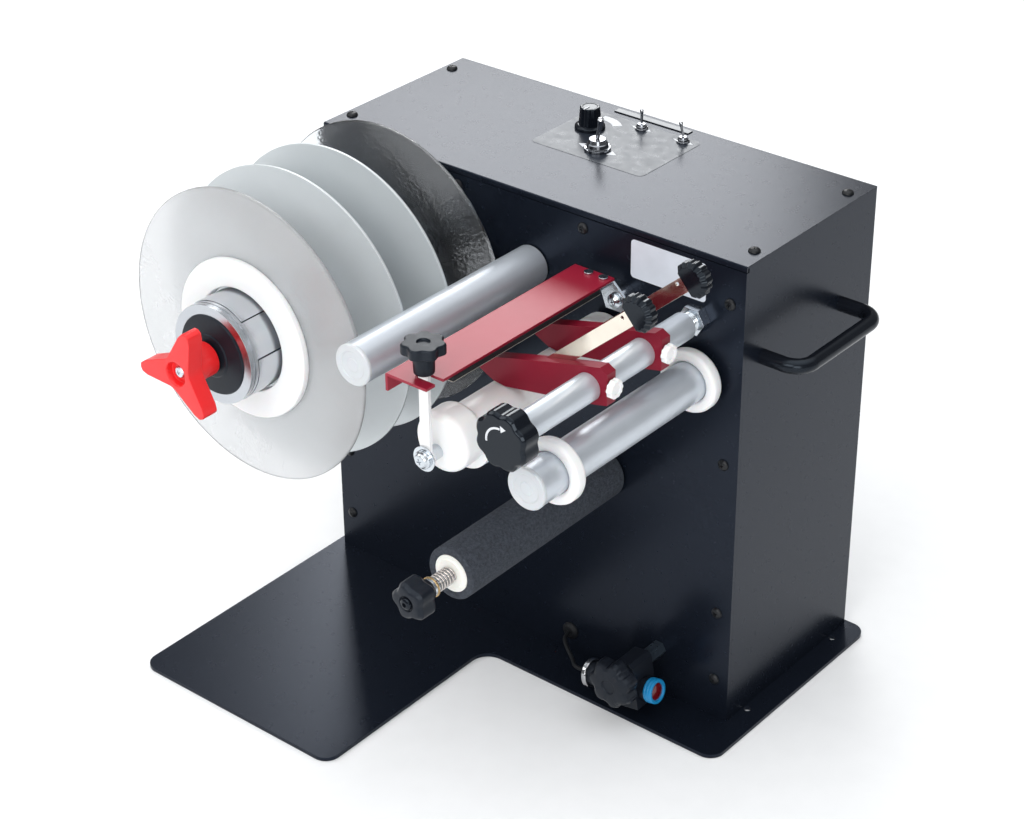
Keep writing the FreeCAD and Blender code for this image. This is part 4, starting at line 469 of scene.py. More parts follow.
def carve(piece: Piece, flutes: Flutes) -> None:
    """Draw the rim of a round piece in and out, step by step round it.

    Args:
        piece: A piece about its own Z axis, with 2 x steps columns of vertices per flute.
        flutes: The scallops to make.
    """
    for step in range(flutes.steps + 1):
        scale = flutes.factor(step)

        def picked(place: Vector, step: int = step) -> bool:
            """Say whether a vertex belongs to this step of any flute."""
            reach = math.hypot(place.x, place.y)
            if reach < flutes.inner * MM or not flutes.low * MM - TINY < place.z < flutes.high * MM + TINY:
                return False
            column = round(math.atan2(place.y, place.x) / math.tau * flutes.columns) % (flutes.steps * 2)
            return min(column, flutes.steps * 2 - column) == step

        if choose(piece, picked) and abs(scale - 1) > TINY:
            draw_in(scale)
        leave_edit()


def primitive(name: str, add: Callable[..., object], scale: Triple = (1.0, 1.0, 1.0),
              **settings: object) -> Piece:
    """Add a primitive and put its place, turn and size in its mesh.

    Args:
        name: Name of the piece.
        add: The operator that adds the primitive.
        scale: Its scale along X, Y and Z.
        settings: What the operator is given.

    Returns:
        The piece.
    """
    bpy.ops.object.select_all(action="DESELECT")
    add(**settings)
    piece = bpy.context.object
    piece.name = name
    piece.scale = scale
    bpy.ops.object.transform_apply(location=True, rotation=True, scale=True)
    return piece


def grow(step: Triple) -> None:
    """Extrude what is selected by a step in millimetres."""
    bpy.ops.mesh.extrude_region_move(TRANSFORM_OT_translate={"value": [part * MM for part in step]})


def close_up() -> None:
    """Merge the doubles of the mesh in edit mode, turn its faces outwards and leave edit mode."""
    bpy.ops.mesh.select_all(action="SELECT")
    bpy.ops.mesh.remove_doubles(threshold=TINY)
    bpy.ops.mesh.normals_make_consistent(inside=False)
    leave_edit()


def turned(name: str, stations: list[Pair], spot: Spot | None, segments: int = 96, bevel: float = 0.3,
           ring: bool = False, flutes: Flutes | None = None) -> Piece:
    """Make a round piece from a circle that is extruded and scaled from station to station.

    Args:
        name: Name of the piece.
        stations: (along, radius) in millimetres, along the piece's own Z axis.
        spot: Where the piece goes, or None to leave it at the origin.
        segments: Number of columns round the piece.
        bevel: Width of the bevel on sharp edges, in millimetres.
        ring: True for a closed profile about an open bore.
        flutes: Scallops to draw into the rim.

    Returns:
        The piece.
    """
    if flutes is not None:
        segments = flutes.columns
    along, radius = stations[0]
    piece = primitive(name, bpy.ops.mesh.primitive_circle_add, vertices=segments, radius=radius * MM,
                      location=(0.0, 0.0, along * MM), fill_type="NOTHING" if ring else "NGON")
    choose(piece)
    for next_along, next_radius in stations[1:] + (stations[:1] if ring else []):
        grow((0.0, 0.0, next_along - along))
        if next_radius != radius:
            draw_in(next_radius / radius)
        along, radius = next_along, next_radius
    close_up()
    if flutes is not None:
        carve(piece, flutes)
    soften(piece, bevel)
    return piece if spot is None else settle(piece, spot)


def spun(name: str, profile: list[Pair], columns: int) -> Piece:
    """Make a round piece by drawing a closed profile and sweeping it about the Z axis.

    Args:
        name: Name of the piece.
        profile: (radius, along) in millimetres, in order round the profile.
        columns: Number of columns round the piece.

    Returns:
        The piece, at the origin.
    """
    radius, along = profile[0]
    piece = primitive(name, bpy.ops.mesh.primitive_plane_add, size=MM,
                      location=(radius * MM, 0.0, along * MM))
    choose(piece)
    bpy.ops.mesh.merge(type="CENTER")
    for next_radius, next_along in profile[1:] + profile[:1]:
        grow((next_radius - radius, 0.0, next_along - along))
        radius, along = next_radius, next_along
    close_up()
    add_modifier(piece, "SCREW", angle=math.tau, steps=columns, render_steps=columns, axis="Z",
                 use_merge_vertices=True, merge_threshold=TINY)
    choose(piece)
    close_up()
    return piece


def block(name: str, low: Triple, high: Triple, bevel: float = 0.3) -> Piece:
    """Make a box with softened edges between two corners.

    Args:
        name: Name of the piece.
        low: Lowest corner in millimetres, its height above the base plate.
        high: Highest corner, in the same way.
        bevel: Width of the bevel in millimetres.

    Returns:
        The piece.
    """
    middle = [(start + end) / 2 * MM for start, end in zip(low, high)]
    middle[2] += PLATE * MM
    scale = [(end - start) * MM for start, end in zip(low, high)]
    piece = primitive(name, bpy.ops.mesh.primitive_cube_add, scale, size=1.0, location=middle)
    soften(piece, bevel)
    return piece


def rounded_sheet(name: str, size: Pair, thick: float, corner: float,
                  spot: Spot) -> Piece:
    """Make a thin sheet with round corners.

    Args:
        name: Name of the piece.
        size: Its width and its length in millimetres.
        thick: Its thickness in millimetres.
        corner: Radius of its corners in millimetres.
        spot: The middle of its underside, with Z pointing out of the surface.

    Returns:
        The piece.
    """
    piece = primitive(name, bpy.ops.mesh.primitive_plane_add, (size[0] * MM, size[1] * MM, 1.0), size=1.0)
    choose(piece)
    bpy.ops.mesh.bevel(offset=corner * MM, segments=8, affect="VERTICES")
    bpy.ops.mesh.select_all(action="SELECT")
    grow((0.0, 0.0, thick))
    close_up()
    soften(piece, thick * 0.3)
    return settle(piece, spot)


def coil(name: str, wire: float, radius: float, pitch: float, turns: int, spot: Spot) -> Piece:
    """Make a coil of round wire along the piece's own Z axis.

    Args:
        name: Name of the piece.
        wire: Diameter of the wire in millimetres.
        radius: Radius of the coil's middle line in millimetres.
        pitch: Distance from turn to turn in millimetres.
        turns: Number of turns.
        spot: Where the coil's first turn begins.

    Returns:
        The piece.
    """
    piece = primitive(name, bpy.ops.mesh.primitive_circle_add, vertices=14, radius=wire / 2 * MM,
                      location=(radius * MM, 0.0, 0.0), rotation=(math.pi / 2, 0.0, 0.0))
    add_modifier(piece, "SCREW", angle=math.tau, steps=48, render_steps=48, axis="Z",
                 screw_offset=pitch * MM, iterations=turns)
    choose(piece)
    bpy.ops.mesh.fill_holes(sides=0)
    close_up()
    soften(piece, 0.0, SMOOTH)
    return settle(piece, spot)


def rounded_rim(low: float, high: float, radius: float, rounding: float, steps: int = 5) -> list[Pair]:
    """Give the stations of a disc whose two rims are rounded.

    Args:
        low: Where the disc starts, in millimetres.
        high: Where it ends.
        radius: Its radius.
        rounding: Radius of its rounded rims.
        steps: Number of steps round each rim.

    Returns:
        The stations in order.
    """
    angles = [math.pi / 2 * step / steps for step in range(steps + 1)]
    rise = [(low + rounding * (1 - math.cos(angle)), radius - rounding * (1 - math.sin(angle)))
            for angle in angles]
    return rise + [(low + high - along, reach) for along, reach in reversed(rise)]


def merged_copy(name: str, node: str, bevel: float) -> Piece:
    """Copy a node's mesh, join its loose triangles and soften its edges.

    Args:
        name: Name of the new piece.
        node: Name of the node to copy.
        bevel: Width of the bevel in millimetres.

    Returns:
        The piece.
    """
    piece = bpy.data.objects.new(name, frame["nodes"][node].data.copy())
    bpy.context.scene.collection.objects.link(piece)
    choose(piece)
    bpy.ops.mesh.remove_doubles(threshold=2 * TINY)
    bpy.ops.mesh.dissolve_limited(angle_limit=math.radians(0.3))
    leave_edit()
    soften(piece, bevel)
    return piece


def loose_solids(node: str, bevel: float) -> list[Piece]:
    """Copy a node and part it into its separate solids."""
    piece = merged_copy(node + "_solids", node, bevel)
    choose(piece)
    bpy.ops.mesh.separate(type="LOOSE")
    leave_edit()
    return list(bpy.context.selected_objects)


def middle_of(piece: Piece) -> Vector:
    """Give the middle of a piece's box in millimetres, its height above the base plate."""
    places = [vertex.co for vertex in piece.data.vertices]
    low = Vector(map(min, zip(*places)))
    high = Vector(map(max, zip(*places)))
    return (low + high) / 2 / MM - Vector((0.0, 0.0, PLATE))


def take_nearest(solids: list[Piece], x: float, y: float, height: float) -> Piece:
    """Take out of a list the solid whose middle is nearest to a place."""
    target = Vector((x, y, height))
    found = min(solids, key=lambda solid: (middle_of(solid) - target).length)
    solids.remove(found)
    return found


def joined(name: str, pieces: list[Piece]) -> Piece:
    """Join pieces into one under a name."""
    only(pieces[0])
    for piece in pieces:
        piece.select_set(True)
    bpy.ops.object.join()
    pieces[0].name = name
    return pieces[0]


def take_away(piece: Piece, tool: Piece) -> None:
    """Cut a tool's shape out of a piece and delete the tool."""
    add_modifier(piece, "BOOLEAN", operation="DIFFERENCE", solver="EXACT", object=tool)
    bpy.data.objects.remove(tool)


def cross_recess(piece: Piece, spot: Spot, span: float, deep: float) -> None:
    """Cut a cross-shaped driver recess, tapered towards its foot, into a screw head.

    Args:
        piece: The screw.
        spot: The middle of the head's face, with Z pointing out of it.
        span: Length of the cross in millimetres.
        deep: Depth of the recess in millimetres.
    """
    for turn in (20.0, 110.0):
        tool = primitive("recess_tool", bpy.ops.mesh.primitive_cube_add,
                         (span * MM, span * 0.2 * MM, deep * 2 * MM), size=1.0,
                         rotation=(0.0, 0.0, math.radians(turn)))
        choose(tool, lambda place: place.z < 0)
        draw_in(0.45)
        leave_edit()
        take_away(piece, settle(tool, spot))


def fit(piece: Piece, finish: Finish, body: str, slot: str, *nodes: str) -> None:
    """Give a piece its finish, its body and the nodes that it stands for.

    Args:
        piece: The finished piece.
        finish: Its finish.
        body: Name of the body that it rides on.
        slot: Name of its material slot, not used.
        nodes: Nodes that it replaces.
    """
    piece.data.materials.clear()
    piece.data.materials.append(finish.material())
    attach(piece, body)
    if nodes:
        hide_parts(*nodes)
    LOGGER.info("%s rides on %s", piece.name, body)


def dress(name: str, node: str, bevel: float, finish: Finish, body: str, slot: str) -> None:
    """Put a softened copy of a node, with a finish, in the node's place.

    Args:
        name: Name of the new piece.
        node: Name of the node that it copies and replaces.
        bevel: Width of its bevel in millimetres.
        finish: Its finish.
        body: Name of the body that it rides on.
        slot: Name of its material slot.
    """
    fit(merged_copy(name, node, bevel), finish, body, slot, node)


def clothe(finish: Finish, *nodes: str) -> None:
    """Give nodes whose shape stays a finish."""
    for name in nodes:
        node = frame["nodes"][name]
        if not node.material_slots:
            node.data.materials.append(None)
        for slot in node.material_slots:
            slot.material = finish.material()
        LOGGER.info("%s keeps its shape", name)


def arc_band(name: str, radii: Pair, angles: Pair, spot: Spot) -> Piece:
    """Make a flat arc of print by spinning a short strip.

    Args:
        name: Name of the piece.
        radii: Its inner and outer radius in millimetres.
        angles: Angles of its start and end in degrees.
        spot: Its centre, with Z pointing out of the surface.

    Returns:
        The piece.
    """
    first, last = [math.radians(angle) for angle in angles]
    piece = primitive(name, bpy.ops.mesh.primitive_plane_add, size=1.0)
    choose(piece, lambda place: place.y > 0)
    bpy.ops.mesh.delete(type="VERT")
    leave_edit()
    for vertex, radius in zip(piece.data.vertices, radii):
        vertex.co = Vector((math.cos(first), math.sin(first), 0.0)) * radius * MM
    choose(piece)
    bpy.ops.mesh.spin(steps=20, angle=first - last, center=(0.0, 0.0, 0.0), axis=(0.0, 0.0, 1.0))
    bpy.ops.mesh.select_all(action="SELECT")
    grow((0.0, 0.0, PRINT))
    close_up()
    return settle(piece, spot)


def arrow_head(name: str, size: float, spot: Spot, turn: float) -> Piece:
    """Make a flat triangle of print.

    Args:
        name: Name of the piece.
        size: Radius of the triangle in millimetres.
        spot: Its middle, with Z pointing out of the surface.
        turn: Direction of its point in degrees about Z.

    Returns:
        The piece.
    """
    piece = primitive(name, bpy.ops.mesh.primitive_cylinder_add, vertices=3, radius=size * MM,
                      depth=PRINT * MM, rotation=(0.0, 0.0, math.radians(turn - 90.0)))
    return settle(piece, spot)


@dataclass
class Cabinet:
    """Base plate, folded cabinet, its screws, pull handle and plain label plates."""

    depth: float = 160.5
    height: float = 375.0
    head_radius: float = 4.3
    head_height: float = 2.4
    panel_columns: tuple[float, ...] = (11.0, 370.0)
    panel_heights: tuple[float, ...] = (33.5, 92.3, 217.5, 343.5)
    top_screws: tuple[float, ...] = (131.5, 245.2)
    top_height: float = 362.0
    lid_columns: tuple[float, ...] = (8.0, 372.0)
    lid_rows: tuple[float, ...] = (23.0, 138.0)
    rear_columns: tuple[float, ...] = (8.0, 374.0)
    rear_heights: tuple[float, ...] = (20.0, 187.0, 350.0)
    sheets: tuple[tuple[str, float], ...] = (("base_plate", 0.5), ("front_panel", 0.3), ("top_lid", 0.35),
                                             ("rear_cover", 0.4))
    label_size: Pair = (63.0, 29.0)
    label_spot: Spot = Spot(318.5, 0.0, 352.5)
    strip_low: Pair = (158.0, 150.0)
    strip_high: Pair = (226.0, 156.0)
    strip_height: float = 0.8

    def build(self) -> None:
        """Build and dress the cabinet."""
        for node, bevel in self.sheets:
            dress(node + "_coated", node, bevel, POWDER_COAT, "cabinet", "powder_black")
        clothe(POWDER_COAT, "cabinet_shell")
        dress("pull_handle", "carry_handle", 0, SATIN_BLACK_COAT, "cabinet", "handle_black")
        self.build_screws()
        self.build_plates()

    def screw_spots(self) -> list[Spot]:
        """Give the seat of each screw head."""
        panel = [Spot(across, 0, height)
                 for across, height in product(self.panel_columns, self.panel_heights)]
        panel += [Spot(across, 0, self.top_height) for across in self.top_screws]
        lid = [Spot(across, back, self.height, Aim.UP.value)
               for across, back in product(self.lid_columns, self.lid_rows)]
        rear = [Spot(across, self.depth, height, Aim.BACK.value)
                for across, height in product(self.rear_columns, self.rear_heights)]
        return panel + lid + rear

    def build_screws(self) -> None:
        """Build one button-headed screw and copy it to each seat."""
        full, top = self.head_radius, self.head_height
        stations = [(0, full), (0.5, full), (1.3, full * 0.9), (2, full * 0.7), (top, full * 0.4)]
        pattern = turned("screw_pattern", stations, None, segments=32, bevel=0)
        cross_recess(pattern, Spot(0, 0, top - PLATE, Aim.UP.value), full * 1.1, 1.1)
        heads = []
        for spot in self.screw_spots():
            head = bpy.data.objects.new("screw_head", pattern.data.copy())
            bpy.context.scene.collection.objects.link(head)
            heads.append(settle(head, spot))
        bpy.data.objects.remove(pattern)
        fit(joined("cabinet_screw_heads", heads), BLACK_OXIDE, "cabinet", "screw_black", "cabinet_screws")

    def build_plates(self) -> None:
        """Build the plain label on the panel and the plain strip on the lid's rear edge."""
        label = rounded_sheet("plain_panel_label", self.label_size, 0.25, 3, self.label_spot)
        fit(label, PLAIN_LABEL, "cabinet", "white_plastic")
        strip = block("plain_lid_strip", (*self.strip_low, self.height),
                      (*self.strip_high, self.height + self.strip_height), 0.2)
        fit(strip, BLACK_GLOSS, "cabinet", "black_plastic")


@dataclass
class LidControls:
    """Overlay film, speed knob and three toggle switches on the lid."""

    top: float = 375.0
    film_middle: Pair = (192.75, 106.5)
    film_size: Pair = (101.5, 75.0)
    speed: Pair = (162.0, 115.0)
    power: Pair = (190.0, 87.7)
    mode: Pair = (193.2, 136.9)
    direction: Pair = (230.9, 136.9)
    wedge_radii: Pair = (17.0, 24.0)
    wedge_angles: Pair = (45.0, 100.0)
    pointer_half: float = 0.5
    pointer_reach: Pair = (7.6, 1.0)
    pointer_heights: Pair = (17.0, 17.5)
    power_lean: float = 11.0
    direction_lean: float = -13.0

    def above(self, place: Pair, rise: float) -> Spot:
        """Give the spot over a place on the lid."""
        return Spot(place[0], place[1], self.top + rise, Aim.UP.value)

    def build(self) -> None:
        """Build and dress the controls."""
        film = rounded_sheet("control_overlay", self.film_size, 0.2, 5, self.above(self.film_middle, 0))
        fit(film, OVERLAY_GREY, "cabinet", "black_plastic")
        self.build_print()
        self.build_speed_knob()
        clothe(NICKEL, "lid_switches")
        self.build_switch("power", self.power, 12, 17, 5, self.power_lean)
        self.build_switch("mode", self.mode, 6, 11, 3, 0)
        self.build_switch("direction", self.direction, 6, 11, 3, self.direction_lean)

    def build_print(self) -> None:
        """Build the plain direction arrows and the speed wedge."""
        marks = [arc_band("speed_mark", self.wedge_radii, self.wedge_angles, self.above(self.speed, 0.2))]
        for place, reach, size in ((self.power, 13, 4.2), (self.mode, 6.5, 2.4), (self.direction, 6.5, 2.4)):
            for side, turn in ((-1, 180), (1, 0)):
                spot = self.above((place[0] + reach * side, place[1]), 0.25)
                marks.append(arrow_head("direction_mark", size, spot, turn))
        fit(joined("overlay_print", marks), PRINT_WHITE, "cabinet", "white_plastic")

    def build_speed_knob(self) -> None:
        """Build the skirted pointer knob with its white line."""
        spot = self.above(self.speed, 0.3)
        skirt = turned("speed_knob_skirt", [(0, 11.5), (2.2, 11.3), (3, 9.2), (3.4, 8.4)], spot)
        stations = [(3.2, 8.9), (5, 8.5), (16.4, 7.6), (17, 7), (17, 5.6), (16.7, 5.3)]
        grip = turned("speed_knob_grip", stations, spot, bevel=0.25,
                      flutes=Flutes(8, 0.07, 3, 17.1, 6.8, 1.6))
        fit(joined("speed_knob_piece", [skirt, grip]), BLACK_GLOSS, "speed", "black_plastic", "speed_knob")
        x, y = self.speed
        half, (front, back), (foot, head) = self.pointer_half, self.pointer_reach, self.pointer_heights
        line = block("speed_pointer", (x - half, y - front, self.top + foot),
                     (x + half, y - back, self.top + head), 0.1)
        fit(line, PRINT_WHITE, "speed", "black_plastic")

    def build_switch(self, name: str, place: Pair, bushing: float, length: float,
                     diameter: float, lean: float) -> None:
        """Build one switch's dress nut, threaded mouth and ball-ended lever.

        Args:
            name: Name of the switch.
            place: Its place across and back on the lid.
            bushing: Diameter of its bushing.
            length: Length of its lever.
            diameter: Largest diameter of its lever.
            lean: Lean of its lever towards the right, in degrees.
        """
        rim = bushing * 0.82
        stations = [(0.05, rim), (bushing * 0.16, rim), (bushing * 0.18, rim * 0.84),
                    (bushing * 0.42, rim * 0.80), (bushing * 0.46, rim * 0.72), (bushing * 0.7, rim * 0.62),
                    (bushing * 0.7, rim * 0.5)]
        mouth = turned(name + "_dress_nut", stations, self.above(place, 0.2), segments=48, bevel=0.12)
        # The dress nut takes the darkened chrome, whose darkness is painted shade.
        fit(mouth, SHADE_PAINTED_CHROME, "cabinet", "zinc_steel")
        stem = diameter / 2
        stations = [(length * along, stem * share) for along, share in
                    ((0, 0.6), (0.62, 0.72), (0.78, 0.95), (0.9, 1), (0.97, 0.75), (1, 0.3))]
        foot = Spot(place[0], place[1], self.top + bushing * 0.7 + 0.7, (0, lean, 0))
        lever = turned(name + "_lever_piece", stations, foot, segments=40, bevel=0)
        fit(lever, CHROME, name, "chrome_plate", name + "_lever")


@dataclass
class WindingSpindle:
    """Expanding chuck with its jaws, face and wing knob, and the four discs on it."""

    axis: Pair = SPINDLE_AXIS
    rear_faces: Pair = (19.0, 22.0)
    rear_inside: Pair = (10.0, 34.0)
    separators: tuple[tuple[str, str, float], ...] = (("far", "inner", 71.0), ("near", "outer", 117.0))
    separator_thickness: float = 2.0
    front_faces: Pair = (163.0, 166.0)
    hub_front: float = 172.0
    hub_step: float = 48.0
    disc_radius: float = 110.0
    bore_radius: float = 39.0
    hub_radius: float = 60.0
    wing_turn: float = 70.0
    rim_round: float = 0.4
    rim_drop: float = 0.5
    plain_rim: float = 0.7
    smooth_rim: float = 1.0
    pebble: float = 2.0
    pebble_depth: float = 0.32
    swell: float = 4.6
    swell_depth: float = 0.10
    pebble_grid: float = 0.70
    pebble_columns: int = 840
    wing_outline: tuple[float, ...] = (0.361, 0.364, 0.372, 0.392, 0.416, 0.447, 0.489, 0.542, 0.614, 0.714,
                                       0.863, 0.978, 1.0)

    def spot(self, turn: float = 0.0) -> Spot:
        """Give the point of the spindle's axis on the panel, turned about the axis."""
        return Spot(self.axis[0], 0, self.axis[1], (90, turn, 0))

    def build(self) -> None:
        """Build and dress the spindle."""
        self.build_pebbled_disc("rear_flange_disc", CLEAR_PEBBLED, self.rear_faces, self.rear_inside,
                                "spindle", "rear_disc")
        for side, node, back in self.separators:
            self.build_disc(side + "_separator_disc", back, side + "_separator", node + "_separator")
        # The front disc takes the pebbled finish whose whitish diffuse share is painted light.
        self.build_pebbled_disc("front_flange_disc", PEBBLED_PAINTED_LIGHT, self.front_faces,
                                (self.hub_step, self.hub_radius - 1), "front_flange", "front_disc")
        (back, step), front = self.front_faces, self.hub_front
        hub = turned("front_hub_ring", [
            (back, self.bore_radius), (back, self.hub_step), (step, self.hub_step), (step, self.hub_radius),
            (front, self.hub_radius), (front, self.bore_radius),
        ], self.spot(), 160, 1.4, ring=True)
        fit(hub, WHITE_PLASTIC, "front_flange", "white_plastic", "front_hub")
        self.build_chuck()
        self.build_wing()

    def build_disc(self, name: str, back: float, body: str, node: str) -> None:
        """Build one flat separator disc with a softened rim.

        Args:
            name: Name of the piece.
            back: Stand-off of its rear face from the panel.
            body: Body that it rides on.
            node: Node that it replaces.
        """
        front = back + self.separator_thickness
        rim = [(back, self.bore_radius), (back, self.disc_radius), (front, self.disc_radius),
               (front, self.bore_radius)]
        fit(turned(name, rim, self.spot(), 192, ring=True), FROSTED, body, "frosted_acrylic", node)

    def build_pebbled_disc(self, name: str, finish: Finish, faces: Pair, inside: Pair, body: str,
                           node: str) -> None:
        """Build one clear disc whose front face is covered with low pebbles.

        Args:
            name: Name of the piece.
            finish: Its finish.
            faces: Stand-off of its rear and front faces from the panel.
            inside: Radius of its bore, and radius where the pebbles start.
            body: Body that it rides on.
            node: Node that it replaces.
        """
        back, front = faces
        bore, inner = inside
        rim = self.disc_radius
        wide = rim - self.plain_rim - inner
        steps = round(wide / self.pebble_grid)
        face = [(rim - self.plain_rim - wide * step / steps, front) for step in range(steps + 1)]
        profile = [(bore, back), (rim - self.rim_round, back), (rim, back + self.rim_round),
                   (rim, front - self.rim_drop)]
        piece = spun(name, profile + face + [(bore, front)], self.pebble_columns)
        group = piece.vertex_groups.new(name="pebbled_face")
        highest = max(vertex.co.z for vertex in piece.data.vertices) - 10 * TINY
        picked = [vertex.index for vertex in piece.data.vertices if vertex.co.z > highest
                  and inner * MM < vertex.co.xy.length < (rim - self.smooth_rim) * MM]
        group.add(picked, 1.0, "REPLACE")
        reliefs = ((self.pebble, self.pebble_depth), (self.swell, self.swell_depth))
        for number, (size, depth) in enumerate(reliefs):
            relief = bpy.data.textures.new("%s_relief_%d" % (name, number), "VORONOI")
            relief.noise_scale = size * MM
            relief.noise_intensity = 1.0
            add_modifier(piece, "DISPLACE", texture=relief, texture_coords="LOCAL", strength=-depth * MM,
                         mid_level=0.0, vertex_group="pebbled_face")
        piece.vertex_groups.clear()
        smooth(piece, SMOOTH)
        fit(settle(piece, self.spot()), finish, body, "pebbled_acrylic", node)

    def build_chuck(self) -> None:
        """Dress the chuck's body and jaws, and build its black face."""
        dress("chuck_core", "chuck_body", 0.2, TURNED_CHUCK, "spindle", "chuck_aluminium")
        for number, body in enumerate(("jaw_one", "jaw_two", "jaw_three"), start=1):
            dress("gripping_jaw_%d" % number, "chuck_jaw_%d" % number, 0.2, TURNED_CHUCK, body,
                  "chuck_aluminium")
        face = turned("chuck_face_disc", [
            (194, 5.6), (194, 30), (199.5, 30), (200.7, 29.4), (201.6, 16.5), (202.5, 15.4), (203, 9.5),
            (203, 5.6),
        ], self.spot(), 128, 0.25, ring=True)
        fit(face, BLACK_MATTE, "spindle", "black_plastic", "chuck_face")
        clothe(ZINC, "spindle_shaft", "chuck_cam")

    def build_wing(self) -> None:
        """Build the three-armed wing knob with its round boss, recess and screw."""
        boss = turned("wing_boss", [(205, 12.5), (222.5, 12.5)], self.spot(), bevel=0.8)
        outline = Flutes(3, 0, 221, 236, 11, steps=12, factors=self.wing_outline)
        arms = turned("wing_arms", [(222, 36), (235, 36), (235, 9.4), (234.2, 8.6), (230, 8)],
                      self.spot(60 - self.wing_turn), bevel=1.7, flutes=outline)
        fit(joined("wing_knob_piece", [boss, arms]), RED_PLASTIC, "wing", "red_plastic", "wing_knob")
        head = turned("wing_screw_head", [(229.5, 4.4), (231, 4.4), (232, 3.6), (232.4, 2)], self.spot(), 48,
                      0.1)
        cross_recess(head, Spot(self.axis[0], -232.4, self.axis[1]), 4.6, 1.2)
        fit(head, ZINC, "wing", "zinc_steel")


@dataclass
class Rollers:
    """Guide tube, flanged idler and sprung foam roller."""

    tube_radius: float = 15.0
    flange_radius: float = 23.3
    flange_thickness: float = 10.0
    guide: Spot = Spot(199.8, 0.0, 320.0)
    idler: Spot = Spot(346.3, 0.0, 281.1)
    foam: Spot = FOAM_AXIS
    spring_foot: Spot = Spot(266.8, -173.2, 173.7)

    def build(self) -> None:
        """Build and dress the rollers."""
        self.build_tube("guide", self.guide, 186, "guide_cap")
        self.build_tube("idler", self.idler, 185, "idler_tube")
        bore = self.tube_radius + 0.05
        for name, front, body, node in (("far_idler_flange", 14, "idler", "idler_rear_flange"),
                                        ("near_idler_flange", 164, "idler_flange", "idler_front_flange")):
            back, rim = front - self.flange_thickness, self.flange_radius
            flange = turned(name, [(back, bore), (back, rim), (front, rim), (front, bore)], self.idler, 128,
                            2.6, ring=True)
            fit(flange, WHITE_PLASTIC, body, "white_plastic", node)
        self.build_foam_roller()

    def build_tube(self, name: str, spot: Spot, length: float, cap_node: str) -> None:
        """Build one satin tube with its milky end cap.

        Args:
            name: Name of the roller and of its body.
            spot: Where its axis meets the panel.
            length: Stand-off of the tube's front end.
            cap_node: Node that the cap replaces.
        """
        radius = self.tube_radius
        inside = radius - 2.5
        tube = turned(name + "_satin_tube", [(1, inside), (1, radius), (length, radius), (length, inside)],
                      spot, 128, ring=True)
        fit(tube, SATIN_TUBE, name, "satin_aluminium", name + "_tube")
        cap = turned(name + "_end_cap", [
            (length - 6, radius - 2.6), (length, radius - 2.6), (length, radius + 0.3),
            (length + 2.2, radius + 0.3), (length + 3, radius - 0.6), (length + 3, 10.4), (length + 2.3, 9.8),
            (length + 2.3, 5), (length + 2.7, 4.6),
        ], spot, 96, 0.2)
        fit(cap, MILKY_CAP, name, "clear_cap", cap_node)

    def build_foam_roller(self) -> None:
        """Build the foam sleeve, its stepped core, the tension knob with its screw, and the spring."""
        core = turned("foam_roller_core", [(1, 5.1), (1, 14), (171.4, 14), (171.4, 11.2), (172.4, 10.6),
                                           (172.4, 5.1)], self.foam, ring=True)
        fit(core, CORE_PLASTIC, "foam", "white_plastic", "foam_roller")
        sleeve = turned("foam_sleeve_piece", [(2, 14), (2, 19.8), (171.5, 19.8), (171.5, 14)], self.foam, 128,
                        1.1, ring=True)
        fit(sleeve, FOAM, "foam", "foam_rubber", "foam_roller")
        knob = turned("tension_star_knob", [
            (195, 7.6), (199.4, 8.8), (200.6, 13), (202.6, 15), (214.4, 15), (217, 12.6), (217.6, 10.4),
            (217.6, 5.9), (216.6, 5.6), (216.4, 4.9),
        ], self.foam, bevel=0.5, flutes=Flutes(5, 0.20, 200.5, 217.7, 10.2, 1, steps=10))
        fit(knob, BLACK_MATTE, "tension", "black_plastic", "tension_knob")
        screw = turned("tension_button_screw", [(216, 4.7), (217.4, 4.7), (218.6, 4.1), (219.3, 3),
                                                (219.5, 1.7), (218, 1.6)], self.foam, 48, 0.1)
        fit(screw, BLACK_GLOSS, "tension", "black_plastic")
        spring = coil("tension_coil", wire=1.5, radius=5.6, pitch=2.75, turns=6, spot=self.spring_foot)
        fit(spring, SPRING_STEEL, "cabinet", "zinc_steel", "tension_spring")
        clothe(ZINC, "roller_axles")


